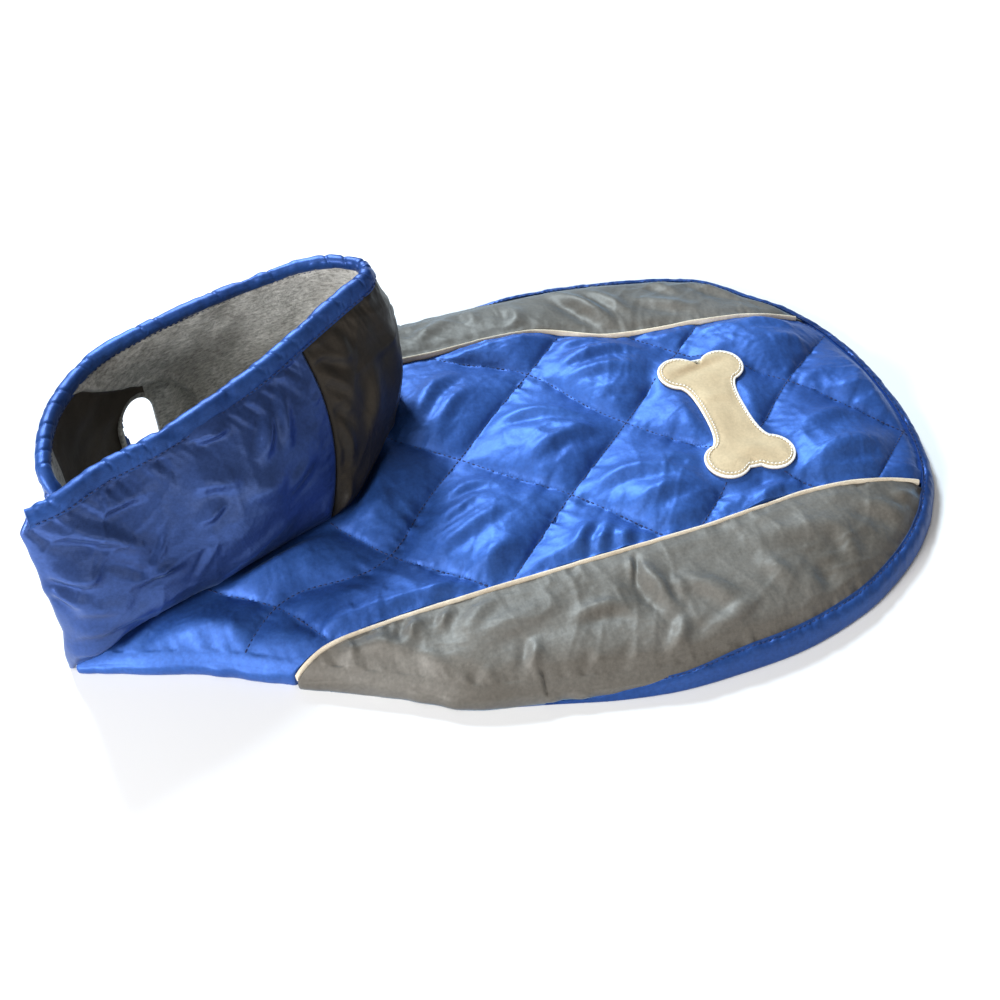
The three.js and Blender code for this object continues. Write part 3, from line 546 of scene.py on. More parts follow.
def quilt_top(x, y):
    """Top of the quilted back with its puffs, puckered seams and creases."""
    d = edge_distance(x, y)
    a, b = quilt_lattice(x, y)
    fade = smooth(*FREE_OF_EDGE, d)
    under_collar = collar_press(x, y)
    under_bone = bone_press(x, y)
    pressed = np.maximum(under_collar, under_bone)
    off_seam = seam_distance(x, y) - SEAM_HALF
    at_seam = 0.25 + 0.75 * smooth(0, 11, off_seam)
    puff = quilt_puff(leaning(a), leaning(b), QUILT_VALLEY, QUILT_FULLNESS)
    rise = lerp(QUILT_LOFT * puff * at_seam - QUILT_SINK, QUILT_FLAT, under_collar)
    rise = lerp(rise, BONE_RISE, under_bone)
    detail = 1.15 * folds(x, y, BACK_FOLDS) * np.minimum(puff * 1.7, 1)
    off_a = np.abs(a - np.round(a)) * QUILT_SIDE
    off_b = np.abs(b - np.round(b)) * QUILT_SIDE
    along_a = (x * QUILT_PITCH_X + y * QUILT_PITCH_Y) / QUILT_SIDE + 97 * np.round(a)
    along_b = (x * QUILT_PITCH_X - y * QUILT_PITCH_Y) / QUILT_SIDE + 57 * np.round(b)
    detail += 2.0 * puckers(along_a, off_a, pitch=6.2, reach=7, seed=3) * smooth(0, 8, off_b)
    detail += 2.0 * puckers(along_b, off_b, pitch=6.6, reach=7, seed=11) * smooth(0, 8, off_a)
    detail += 0.9 * puckers(x, off_seam, pitch=6, reach=6, seed=17)
    detail += 1.5 * crumple(x, y, size=14, seed=2) * puff
    detail += 0.4 * crumple(x, y, size=7, seed=23) * np.minimum(puff * 2, 1)
    gathers = 1.3 * edge_gathers(x, y, d, 29)
    detail = detail * (1 - 0.9 * pressed)
    top = body_height(x, y, d) + (rise + detail) * fade
    return top - squeezed(x, d) + gathers * (1 - fade * 0.6)


def side_top(x, y):
    """Top of a grey side panel with its folds and gathers."""
    d = edge_distance(x, y)
    fade = smooth(*SIDE_FREE_OF_EDGE, d)
    off_seam = seam_distance(x, y) - SEAM_HALF
    at_seam = smooth(0, 9, off_seam)
    detail = SIDE_LOFT * (0.3 + 0.7 * at_seam)
    detail += 1.2 * folds(x, y, SIDE_FOLDS) * (0.25 + 0.75 * at_seam)
    detail += 1.3 * puckers(x, off_seam, pitch=6.5, reach=7, seed=41)
    detail += 1.2 * crumple(x, y, size=18, seed=5)
    detail += 0.3 * crumple(x, y, size=7, seed=19)
    gathers = 1.5 * edge_gathers(x, y, d, 47)
    top = body_height(x, y, d) + detail * fade
    return top - squeezed(x, d) + gathers * (1 - fade * 0.6)


# Plan places of the panels, s along the coat and t across it
BACK_FRONT_X = -277.0
BACK_TAIL_Y = (-82.0, 98.0)
CORNER_WITHIN = 60.0
HALVINGS = 20


def closer_at_ends(t, share):
    """Even places from 0 to 1, drawn toward both ends by a share."""
    return lerp(t, (1 - np.cos(np.pi * t)) / 2, share)


def quilt_place(s, t):
    """The quilted back, from its front edge to the tail and from seam to seam."""
    across = closer_at_ends(t, 0.35)
    tail_y = lerp(BACK_TAIL_Y[0] + SEAM_HALF, BACK_TAIL_Y[1] - SEAM_HALF, across)
    x = lerp(BACK_FRONT_X, tail_at(tail_y, "x") - EDGE_INSET, s)
    at_near_seam = piping_at(x, "near") + SEAM_HALF
    near = np.where(x < NEAR_SEAM_START, edge_at(x, "near") + EDGE_INSET, at_near_seam)
    at_far_seam = piping_at(x, "far") - SEAM_HALF
    far = np.where(x < FAR_SEAM_START, edge_at(x, "far") - EDGE_INSET, at_far_seam)
    return x, lerp(near, far, across)


def tail_corner(x, sign):
    """The tail curve's y at an x past the side edges, by halving."""
    low = np.full(np.shape(x), TAIL["y"][0] if sign < 0 else CORNER_WITHIN)
    high = np.full(np.shape(x), -CORNER_WITHIN if sign < 0 else TAIL["y"][-1])
    for _ in range(HALVINGS):
        middle = (low + high) / 2
        upper = (tail_at(middle, "x") > x) == (sign < 0)
        high = np.where(upper, middle, high)
        low = np.where(upper, low, middle)
    return (low + high) / 2


def side_place(side, sign, start, end):
    """Places of a side panel, from its outer edge to its seam."""
    def place(s, t):
        x = lerp(start, end, s)
        inset = EDGE_INSET * (0.3 + 0.7 * smooth(0, 22, x - start))
        edge = np.where(x < TAIL_START, edge_at(x, side), tail_corner(x, sign)) - sign * inset
        seam = piping_at(x, side) + sign * SEAM_HALF
        return x, lerp(edge, seam, 1 - np.cos(t * np.pi / 2))

    return place


# Meshes
SHARP_ANGLE = 62
SKIRT_RINGS = 6
UNDERSIDE_STEP = 4
WELD_DISTANCE = 0.00002


def grid_places(rows, columns):
    """Even places from 0 to 1 both ways over a grid."""
    return np.meshgrid(np.linspace(0, 1, rows + 1), np.linspace(0, 1, columns + 1), indexing="ij")


def grid_faces(rows, columns, start=0):
    """Four-sided faces of a grid whose points are numbered from start."""
    i, j = np.meshgrid(np.arange(rows), np.arange(columns), indexing="ij")
    a = start + i * (columns + 1) + j
    return np.stack([a, a + columns + 1, a + columns + 2, a + 1], -1).reshape(-1, 4)


def grid_rim(rows, columns, step=1):
    """Indices round the edge of a grid, every step along it."""
    def at(i, j):
        return i * (columns + 1) + j

    near = [at(i, 0) for i in range(0, rows, step)]
    end = [at(rows, j) for j in range(0, columns, step)]
    far = [at(i, columns) for i in range(rows, 0, -step)]
    start = [at(0, j) for j in range(columns, 0, -step)]
    return np.array(near + end + far + start)


def add_piece(name, points, faces, material, slot, parts=None):
    """A smooth mesh object in the frame, riding on the coat's one body."""
    mesh = bpy.data.meshes.new(name)
    points = (np.asarray(points, float) - PLAN_CENTRE) * MM
    mesh.from_pydata(points.tolist(), [], [list(map(int, f)) for f in faces])
    bm = bmesh.new()
    bm.from_mesh(mesh)
    bmesh.ops.recalc_face_normals(bm, faces=bm.faces)
    bm.to_mesh(mesh)
    bm.free()
    mesh.shade_smooth()
    mesh.set_sharp_from_angle(angle=math.radians(SHARP_ANGLE))
    for item in material if isinstance(material, (list, tuple)) else [material]:
        mesh.materials.append(item)
    if parts is not None:
        mesh.polygons.foreach_set("material_index", np.asarray(parts, np.int32))
    piece = bpy.data.objects.new(name, mesh)
    bpy.context.scene.collection.objects.link(piece)
    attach(piece, "root")
    return piece


def panel_mesh(rows, columns, place, top, bulge):
    """Points and faces of a body panel: its top, rolled edge and plain underside."""
    step = UNDERSIDE_STEP
    x, y = place(*grid_places(rows, columns))
    points = [np.stack([x, y, top(x, y)], -1).reshape(-1, 3)]
    faces = [grid_faces(rows, columns)]
    rim = grid_rim(rows, columns)
    edge = points[0][rim]
    run = np.roll(edge, -1, 0) - np.roll(edge, 1, 0)
    area = np.sum(edge[:, 0] * np.roll(edge[:, 1], -1) - edge[:, 1] * np.roll(edge[:, 0], -1))
    out = np.stack([run[:, 1], -run[:, 0]], 1) * np.sign(area)
    out /= np.linalg.norm(out, axis=1)[:, None] + 1e-9
    floor = underside(edge[:, 0], edge[:, 1], edge_distance(edge[:, 0], edge[:, 1]))
    width = bulge(edge[:, 0], edge[:, 1])[:, None]
    count = len(rim)
    last = rim
    for k in range(1, SKIRT_RINGS + 1):
        turn = math.pi * k / SKIRT_RINGS
        ring = edge.copy()
        ring[:, :2] += out * width * math.sin(turn)
        ring[:, 2] = lerp(floor, edge[:, 2], (1 + math.cos(turn)) / 2)
        start = sum(map(len, points))
        new = start + np.arange(count)
        points.append(ring)
        faces.append(np.stack([last, np.roll(last, -1), np.roll(new, -1), new], 1))
        last = new
    # The underside has fewer points; each of its edges takes a fan of the rim's
    x, y = place(*grid_places(rows // step, columns // step))
    start = sum(map(len, points))
    points.append(np.stack([x, y, underside(x, y, edge_distance(x, y))], -1).reshape(-1, 3))
    faces.append(grid_faces(rows // step, columns // step, start)[:, ::-1])
    coarse = start + grid_rim(rows // step, columns // step)
    fans = []
    for k, corner in enumerate(coarse):
        after = coarse[(k + 1) % len(coarse)]
        for j in range(step):
            p, q = last[(k * step + j) % count], last[(k * step + j + 1) % count]
            fans.append((p, q, corner if j < step / 2 else after))
        middle = last[(k * step + (step + 1) // 2) % count]
        fans.append((corner, middle, after))
    return np.concatenate(points), [f for group in faces for f in group] + fans


def shell_mesh(outer, inner, keep=None):
    """Closed thin shell between two grids of points, without the faces not kept."""
    rows, columns = outer.shape[0] - 1, outer.shape[1] - 1
    faces = grid_faces(rows, columns)
    if keep is not None:
        faces = faces[keep.reshape(-1)]
    count = outer.shape[0] * outer.shape[1]
    edges = np.concatenate([faces[:, [k, (k + 1) % 4]] for k in range(4)])
    ways = np.sort(edges, axis=1)
    _, first, uses = np.unique(ways, axis=0, return_index=True, return_counts=True)
    rim = edges[first[uses == 1]]
    walls = np.stack([rim[:, 1], rim[:, 0], rim[:, 0] + count, rim[:, 1] + count], 1)
    points = np.concatenate([outer.reshape(-1, 3), inner.reshape(-1, 3)])
    every = np.concatenate([faces, faces[:, ::-1] + count, walls])
    used = np.unique(every)
    index = np.full(len(points), -1)
    index[used] = np.arange(len(used))
    return points[used], index[every], len(faces)


def tape_mesh(outer, inner):
    """A folded tape between two grids of points, closed across both of its ends."""
    points, faces, _ = shell_mesh(outer, inner)
    count, half = outer.shape[1], outer.shape[0] * outer.shape[1]
    ends = [list(range(half, half + count))[::-1], list(range(2 * half - count, 2 * half))]
    return points, faces.tolist() + ends


def tube_mesh(rings, closed=False):
    """Closed tube through rings of equal counts."""
    stations, count = rings.shape[0], rings.shape[1]
    i = np.arange(stations if closed else stations - 1)[:, None]
    k = np.arange(count)[None, :]
    a = i * count + k
    b = i * count + (k + 1) % count
    step = ((i + 1) % stations) * count
    faces = np.stack([a, b, step + (k + 1) % count, step + k], -1).reshape(-1, 4).tolist()
    if not closed:
        last = (stations - 1) * count
        faces += [[0, k + 1, k] for k in range(1, count - 1)]
        faces += [[last, last + k, last + k + 1] for k in range(1, count - 1)]
    return rings.reshape(-1, 3), faces


AIM_REACH = 0.6


def run_lengths(points):
    """Length along a run of points up to each of them."""
    return np.concatenate([[0], np.cumsum(np.linalg.norm(np.diff(points, axis=0), axis=1))])


def run_at(places, lengths, points):
    """The points at some places along a run, given its lengths."""
    return np.stack([np.interp(places, lengths, column) for column in points.T], 1)


def circle(count):
    """Even angles round a circle."""
    return 2 * np.pi * np.arange(count) / count


def along_path(points, pitch, offset):
    """Even places along a run of points, with the direction at each."""
    lengths = run_lengths(points)
    places = np.arange(offset, lengths[-1], pitch)
    ahead = run_at(places + AIM_REACH, lengths, points)
    run = ahead - run_at(places - AIM_REACH, lengths, points)
    return run_at(places, lengths, points), run / (np.linalg.norm(run, axis=1)[:, None] + 1e-9)


STITCH_PROFILE = table("along radius", (-.5, .15), (-.36, .85), (0, 1), (.36, .85), (.5, .15))
STITCH_DIP = 1.4
STITCH_SIDES = 6


def stitches(rows, pitch, length, radius, lift):
    """Threads lying along runs of points: one small rounded stitch at each place."""
    centres, runs, ups = [], [], []
    for points, up in rows:
        if len(points) < 3:
            continue
        at, run = along_path(points, pitch, pitch / 2)
        centres.append(at)
        runs.append(run)
        ups.append(np.broadcast_to(up, at.shape) if np.ndim(up) == 1 else up_at(points, up, at))
    at, run, up = (np.concatenate(group) for group in (centres, runs, ups))
    side = np.cross(up, run)
    side /= np.linalg.norm(side, axis=1)[:, None] + 1e-9
    up = np.cross(run, side)
    turn = circle(STITCH_SIDES)
    ring = np.stack([np.cos(turn), np.sin(turn)], 1)
    shape = []
    for share, size in zip(STITCH_PROFILE["along"], STITCH_PROFILE["radius"]):
        sunk = lift - STITCH_DIP * radius * abs(2 * share) ** 3
        shape.append([(share * length, size * radius * c, size * radius * s + sunk) for c, s in ring])
    one, faces = tube_mesh(np.array(shape))
    every = at[:, None] + one[None, :, :1] * run[:, None] + one[None, :, 1:2] * side[:, None]
    every = every + one[None, :, 2:] * up[:, None]
    count = len(one)
    return every.reshape(-1, 3), [[v + k * count for v in f] for k in range(len(at)) for f in faces]


def up_at(points, ups, at):
    """The way up at places beside a run of points, from that of the nearest one."""
    nearest = np.argmin(np.linalg.norm(at[:, None] - points[None], axis=2), axis=1)
    return ups[nearest]


# Materials
class Cloth:
    """A cloth material: one shader with a few chained nodes."""

    def __init__(self, name, roughness, sheen, sheen_tint, sheen_roughness, specular):
        self.material = bpy.data.materials.new(name)
        self.material.use_nodes = True
        self.nodes = self.material.node_tree.nodes
        self.links = self.material.node_tree.links
        self.nodes.clear()
        self.shader = self.add("ShaderNodeBsdfPrincipled")
        self.shader.inputs["Roughness"].default_value = roughness
        self.shader.inputs["Sheen Weight"].default_value = sheen
        self.shader.inputs["Sheen Tint"].default_value = (*sheen_tint, 1)
        self.shader.inputs["Sheen Roughness"].default_value = sheen_roughness
        self.shader.inputs["Specular IOR Level"].default_value = specular
        output = self.add("ShaderNodeOutputMaterial")
        self.links.new(self.shader.outputs[0], output.inputs[0])
        self.place = self.add("ShaderNodeTexCoord").outputs["Object"]
        self.bump = None

    def add(self, kind, **values):
        """A new node with some of its settings."""
        node = self.nodes.new(kind)
        for name, value in values.items():
            setattr(node, name, value)
        return node

    def noise(self, size_mm, detail=3.0, stretch=(1, 1, 1), roughness=0.5, turn=0.0):
        """Noise whose bumps are about size_mm wide."""
        mapping = self.add("ShaderNodeMapping")
        mapping.inputs["Scale"].default_value = stretch
        mapping.inputs["Rotation"].default_value = (0, 0, math.radians(turn))
        self.links.new(self.place, mapping.inputs["Vector"])
        node = self.add("ShaderNodeTexNoise")
        node.inputs["Scale"].default_value = 1000 / size_mm / 2
        node.inputs["Detail"].default_value = detail
        node.inputs["Roughness"].default_value = roughness
        self.links.new(mapping.outputs[0], node.inputs["Vector"])
        return node.outputs["Fac"]

    def ramp(self, value, low, high, low_colour, high_colour):
        """Colour between two tones as a value runs from low to high."""
        node = self.add("ShaderNodeValToRGB")
        node.color_ramp.elements[0].position = low
        node.color_ramp.elements[0].color = (*low_colour, 1)
        node.color_ramp.elements[1].position = high
        node.color_ramp.elements[1].color = (*high_colour, 1)
        self.links.new(value, node.inputs["Fac"])
        return node.outputs["Color"]

    def shade(self, colour, tone):
        """A colour multiplied by a tone."""
        node = self.add("ShaderNodeMix", data_type="RGBA", blend_type="MULTIPLY")
        node.inputs[0].default_value = 1.0
        into = [socket for socket in node.inputs if socket.type == "RGBA"]
        self.links.new(colour, into[0])
        self.links.new(tone, into[1])
        return [socket for socket in node.outputs if socket.type == "RGBA"][0]

    def raise_by(self, height, distance_mm, strength=1.0):
        """Adds relief of the given depth to the surface."""
        node = self.add("ShaderNodeBump")
        node.inputs["Strength"].default_value = strength
        node.inputs["Distance"].default_value = distance_mm * MM
        self.links.new(height, node.inputs["Height"])
        if self.bump:
            self.links.new(self.bump, node.inputs["Normal"])
        self.bump = node.outputs["Normal"]

    def weave(self, pitch_mm):
        """Height of a plain weave: two crossed rows of threads."""
        waves = []
        for direction in ("X", "Y"):
            node = self.add("ShaderNodeTexWave", wave_type="BANDS", bands_direction=direction)
            node.inputs["Scale"].default_value = 2 * math.pi / (20 * pitch_mm * MM)
            node.inputs["Distortion"].default_value = 0.6
            self.links.new(self.place, node.inputs["Vector"])
            waves.append(node.outputs["Fac"])
        node = self.add("ShaderNodeMath", operation="ADD")
        self.links.new(waves[0], node.inputs[0])
        self.links.new(waves[1], node.inputs[1])
        return node.outputs[0]

    def finish(self, colour):
        """Joins the colour and all the relief to the shader."""
        self.links.new(colour, self.shader.inputs["Base Color"])
        if self.bump:
            self.links.new(self.bump, self.shader.inputs["Normal"])
        return self.material


def taffeta(name, deep, light, roughness, sheen, tint, crinkle_mm, gloss, satin):
    """Thin woven polyester with a satin face and fine crinkles."""
    cloth = Cloth(name, roughness, sheen, tint, 0.35, gloss)
    cloth.shader.inputs["Metallic"].default_value = satin
    tone = cloth.noise(34, 2, (1, 1.4, 1), turn=30)
    colour = cloth.ramp(tone, 0.35, 0.68, deep, light)
    fleck = cloth.ramp(cloth.noise(1.1, 2), 0.3, 0.7, (0.86, 0.86, 0.86), (1.08, 1.08, 1.08))
    colour = cloth.shade(colour, fleck)
    cloth.raise_by(cloth.noise(9, 3, (1, 2.4, 1), turn=24), crinkle_mm)
    cloth.raise_by(cloth.noise(6, 3, (2.2, 1, 1), turn=-18), crinkle_mm * 0.6)
    cloth.raise_by(cloth.noise(1.6, 2), 0.05)
    cloth.raise_by(cloth.weave(0.7), 0.03, 0.5)
    return cloth.finish(colour)


def fleece(name, deep, light):
    """Short brushed pile, mottled where the nap turns."""
    cloth = Cloth(name, 1.0, 0.5, (0.95, 0.95, 0.9), 0.6, 0.2)
    nap = cloth.noise(2.0, 5, (1, 1, 2.2), 0.75)
    patch = cloth.noise(16, 3)
    colour = cloth.ramp(nap, 0.38, 0.64, deep, light)
    shade = cloth.ramp(patch, 0.32, 0.68, (0.62, 0.60, 0.58), (1.14, 1.14, 1.14))
    colour = cloth.shade(colour, shade)
    cloth.raise_by(patch, 1.0)
    cloth.raise_by(nap, 0.9)
    cloth.raise_by(cloth.noise(0.8, 3, (1, 1, 3)), 0.35)
    return cloth.finish(colour)


def twill(name, deep, light, pitch_mm, roughness, sheen):
    """Matt cotton with a fine diagonal weave."""
    cloth = Cloth(name, roughness, sheen, (1, 0.97, 0.9), 0.5, 0.3)
    colour = cloth.ramp(cloth.noise(14, 3), 0.3, 0.7, deep, light)
    fleck = cloth.ramp(cloth.noise(0.9, 2), 0.3, 0.7, (0.92, 0.92, 0.92), (1.05, 1.05, 1.05))
    colour = cloth.shade(colour, fleck)
    cloth.raise_by(cloth.noise(7, 3), 0.25)
    cloth.raise_by(cloth.weave(pitch_mm), 0.06)
    return cloth.finish(colour)


BLUE = taffeta(
    "quilted_blue", deep=(0.024, 0.080, 0.30), light=(0.036, 0.112, 0.39), roughness=0.51,
    sheen=0.05, tint=(0.35, 0.6, 1), crinkle_mm=0.3, gloss=0.3, satin=0.45,
)
NAVY = taffeta(
    "collar_blue", deep=(0.020, 0.044, 0.150), light=(0.052, 0.100, 0.30), roughness=0.34,
    sheen=0.14, tint=(0.4, 0.65, 1), crinkle_mm=0.4, gloss=0.3, satin=0.62,
)
TAPE = taffeta(
    "binding_blue", deep=(0.014, 0.05, 0.20), light=(0.024, 0.08, 0.29), roughness=0.45,
    sheen=0.06, tint=(0.5, 0.7, 1), crinkle_mm=0.25, gloss=0.3, satin=0.4,
)
GREY = taffeta(
    "side_grey", deep=(0.094, 0.083, 0.068), light=(0.145, 0.134, 0.117), roughness=0.52,
    sheen=0.35, tint=(0.3, 0.62, 1), crinkle_mm=0.4, gloss=0.3, satin=0.16,
)
OLIVE = taffeta(
    "gusset_olive", deep=(0.018, 0.015, 0.012), light=(0.038, 0.030, 0.022), roughness=0.47,
    sheen=0.02, tint=(1, 0.85, 0.6), crinkle_mm=0.4, gloss=0.35, satin=0.3,
)
FLEECE = fleece("fleece_grey", deep=(0.20, 0.192, 0.172), light=(0.61, 0.59, 0.55))
# Dark brown inner lining below the fleece hem: its darkness is partly painted shade of the recess under
# the hem
FACING_AND_SHADE = taffeta(
    "inner_facing_and_painted_shade", deep=(0.030, 0.022, 0.015), light=(0.07, 0.052, 0.036), roughness=0.6,
    sheen=0.05, tint=(1, 0.9, 0.8), crinkle_mm=0.5, gloss=0.3, satin=0.0,
)
CREAM = twill(
    "piping_cream", deep=(0.60, 0.50, 0.37), light=(0.76, 0.67, 0.53),
    pitch_mm=0.6, roughness=0.6, sheen=0.2,
)
COTTON = twill(
    "applique_cream", deep=(0.45, 0.345, 0.208), light=(0.55, 0.435, 0.272),
    pitch_mm=0.7, roughness=0.75, sheen=0.1,
)
BORDER = twill(
    "applique_border", deep=(0.80, 0.78, 0.72), light=(0.90, 0.88, 0.83),
    pitch_mm=0.5, roughness=0.6, sheen=0.2,
)
THREAD_NAVY = twill(
    "thread_navy", deep=(0.008, 0.02, 0.09), light=(0.014, 0.035, 0.14),
    pitch_mm=0.3, roughness=0.55, sheen=0.1,
)


# Body panels
BACK_GRID = (380, 176)
NEAR_GRID = (320, 72)
FAR_GRID = (300, 52)
NEAR_PANEL_X = (-155, 270)
FAR_PANEL_X = (FAR_SEAM_START + 2, 266)
NEAR_CORD_X = (-156, 262)
FAR_CORD_X = (FAR_SEAM_START + 1, 258)
CORD_STATIONS = 330
CORD_SIDES = 12
CORD_FLATTEN = 0.86
CORD_SUNK = 3.2
HEM_ROLL = 1.9


def turned_edge(x, y):
    """How far a panel's edge rolls out: a turned, uneven hem where no tape binds it."""
    at_edge = 1 - smooth(EDGE_INSET, EDGE_INSET + 1.2, edge_distance(x, y))
    free = 1 - smooth(BOUND_FROM, TAPE_FULL_X, x)
    scallop = 1 + 0.55 * noise(x / 9, 0 * x, 201) + 0.45 * noise(x / 23, 0 * x, 203)
    return 0.05 + HEM_ROLL * at_edge * free * scallop


def build_back():
    mesh = panel_mesh(*BACK_GRID, quilt_place, quilt_top, turned_edge)
    piece = add_piece("quilted_back", *mesh, BLUE, "quilted_blue")
    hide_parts("back_panel")
    return piece


def build_side(side, sign, grid, start, end):
    mesh = panel_mesh(*grid, side_place(side, sign, start, end), side_top, turned_edge)
    piece = add_piece(f"side_{side}", *mesh, GREY, "side_grey")
    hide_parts(f"side_panel_{side}")
    return piece


def build_piping(side, start, end):
    """A cloth-covered cord standing in the seam, a little uneven along its run."""
    x = np.linspace(start, end, CORD_STATIONS)
    y = piping_at(x, side)
    y = y + 0.35 * noise(x / 26, 0 * x, 61) + 0.15 * noise(x / 9, 0 * x, 67)
    run = np.gradient(y, x)
    across = np.stack([-run, np.ones_like(run)], 1)
    across /= np.linalg.norm(across, axis=1)[:, None]
    base = body_height(x, y, edge_distance(x, y))
    turn = circle(CORD_SIDES)
    size = 1 + 0.05 * noise(x / 2.5, 0 * x, 71)
    rings = np.empty((len(x), CORD_SIDES, 3))
    off = np.cos(turn)[None] * (CORD_FLATTEN * PIPING_WIDTH / 2) * size[:, None]
    rings[..., :2] = np.stack([x, y], 1)[:, None] + across[:, None] * off[..., None]
    height = (PIPING_RISE + CORD_SUNK) / 2
    middle = base + (PIPING_RISE - CORD_SUNK) / 2
    rings[..., 2] = middle[:, None] + np.sin(turn)[None] * height
    piece = add_piece(f"piping_cord_{side}", *tube_mesh(rings), CREAM, "piping_cream")
    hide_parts(f"piping_{side}")
    return piece


# Binding round the edge
TAPE_STATIONS = 800
TAPE_EVEN = 4
TAPE_STEP = 2.0
TAPE_END_X = 14.0
TAPE_TAIL_Y = (-100.0, 122.0)
TAPE_THICK = 0.8
TAPE_SEAM_IN = 7.2
TAPE_SEAM_POINT = 15
TAPE_LOW = 1.6
FRONT_TAPE_INSET = 4.5


def binding_path():
    """Even points along the bound edge in plan, and the length up to each."""
    near = np.arange(TAPE_START_X, TAIL_START, TAPE_STEP)
    tail = np.arange(*TAPE_TAIL_Y, TAPE_STEP)
    far = np.arange(TAIL_START, TAPE_END_X, -TAPE_STEP)
    points = np.concatenate([
        np.stack([near, edge_at(near, "near")], 1),
        np.stack([tail_at(tail, "x"), tail], 1),
        np.stack([far, edge_at(far, "far")], 1),
    ])
    lengths = run_lengths(points)
    even = np.linspace(0, lengths[-1], TAPE_STATIONS)
    path = run_at(even, lengths, points)
    window = 2 * TAPE_EVEN + 1
    kernel = np.ones(window) / window
    before, after = np.repeat(path[:1], TAPE_EVEN, 0), np.repeat(path[-1:], TAPE_EVEN, 0)
    padded = np.concatenate([before, path, after])
    return np.stack([np.convolve(padded[:, k], kernel, "valid") for k in range(2)], 1), even


# Tape section from its inner edge on the underside round to that on the top
TAPE_SECTION = table(
    "inward face",
    (9, 0), (6.5, 0), (4, 0), (2, 0), (.6, 0), (-.6, .12), (-1.2, .35), (-1.25, .6), (-.7, .84),
    (.4, 1), (1.6, 1), (2.8, 1), (4, 1), (5.2, 1), (6.2, 1), (7, 1), (7.8, 1), (8.6, 1), (9, 1),
)


def build_binding():
    """The folded tape, and the run of its stitches along its top."""
    path, along = binding_path()
    run = np.gradient(path, axis=0)
    inward = np.stack([-run[:, 1], run[:, 0]], 1)
    inward /= np.linalg.norm(inward, axis=1)[:, None]
    x = path[:, 0]
    cover = np.where(path[:, 1] < MIDDLE_Y, cover_at(x, "near"), cover_at(x, "far"))
    cover = np.maximum(cover, 0.5)
    full = smooth(BOUND_FROM + 8, TAPE_FULL_X, x)
    path = path + inward * (FRONT_TAPE_INSET * (1 - smooth(TAPE_START_X, TAPE_FULL_X - 40, x)))[:, None]
    count = len(TAPE_SECTION["inward"])
    outer = np.empty((len(path), count, 3))
    inner = np.empty_like(outer)
    for j, (reach, face) in enumerate(zip(TAPE_SECTION["inward"], TAPE_SECTION["face"])):
        on_top = face >= 1
        edge = path + inward * (reach * np.where(on_top, cover, 1))[:, None]
        depth = np.maximum(reach, 0) * cover
        pressed = body_height(edge[:, 0], edge[:, 1], depth) - squeezed(edge[:, 0], depth)
        wrinkle = 0.7 * creases((along + 1.5 * reach) / 9, reach / 12, 83)
        wrinkle += 0.4 * noise((along - 0.9 * reach) / 4, reach / 6, 89)
        belly = 1.0 * math.sin(math.pi * min(max(reach, 0) / 7.4, 1)) * min(face, 1)
        groove = -0.5 * math.exp(-((reach - TAPE_SEAM_IN) / 0.9) ** 2) if on_top else 0
        sunk = -1.3 if reach > 8.8 else 0
        top = pressed + TAPE_CLOTH + belly + groove + sunk + wrinkle * min(face, 1) * (reach < 8.4)
        top = lerp(TAPE_LOW, top, full)
        outer[:, j, :2] = edge
        outer[:, j, 2] = top if on_top else top * face
        inner[:, j, :2] = edge + inward * (TAPE_THICK if face not in (0, 1) else 0.0)
        inner[:, j, 2] = np.clip(outer[:, j, 2] - TAPE_THICK * (1 if on_top else -1), 0.3, None)
    outer[..., 2] = np.maximum(outer[..., 2], 0)
    piece = add_piece("edge_tape", *tape_mesh(outer, inner), TAPE, "binding_blue")
    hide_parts("edge_binding")
    seam = outer[:, TAPE_SEAM_POINT]
    return piece, seam[full > 0.6]


# Bone applique
def bone_place(flat):
    """Plan x and y of points given along and across the applique."""
    turn = math.radians(BONE["turn"])
    x = BONE["x"] + flat[..., 0] * math.cos(turn) - flat[..., 1] * math.sin(turn)
    y = BONE["y"] + flat[..., 0] * math.sin(turn) + flat[..., 1] * math.cos(turn)
    return x, y


BONE_FOLDS = table(
    FOLD_COLUMNS,
    (126, 47, 152, 57, 186, 60, 4, 1.7, .7),
    (138, 20, 160, 26, 180, 18, 5, .7, .4),
    (146, -22, 166, -30, 176, -46, 6, .9, .4),
    (134, -38, 156, -36, 172, -26, 6, .7, .4),
    (176, -30, 184, -40, 186, -52, 5, .7, .3),
)


BONE_EDGE_STEPS = 28
BONE_RINGS = 24
BONE_SPINE_HALF = BONE["half_length"] - BONE["lobe"]
BONE_CLOTH = 2.4
BONE_UNDER = 0.4
BONE_EDGE_DROP = 1.2
BONE_EDGE_ROUND = 2.6


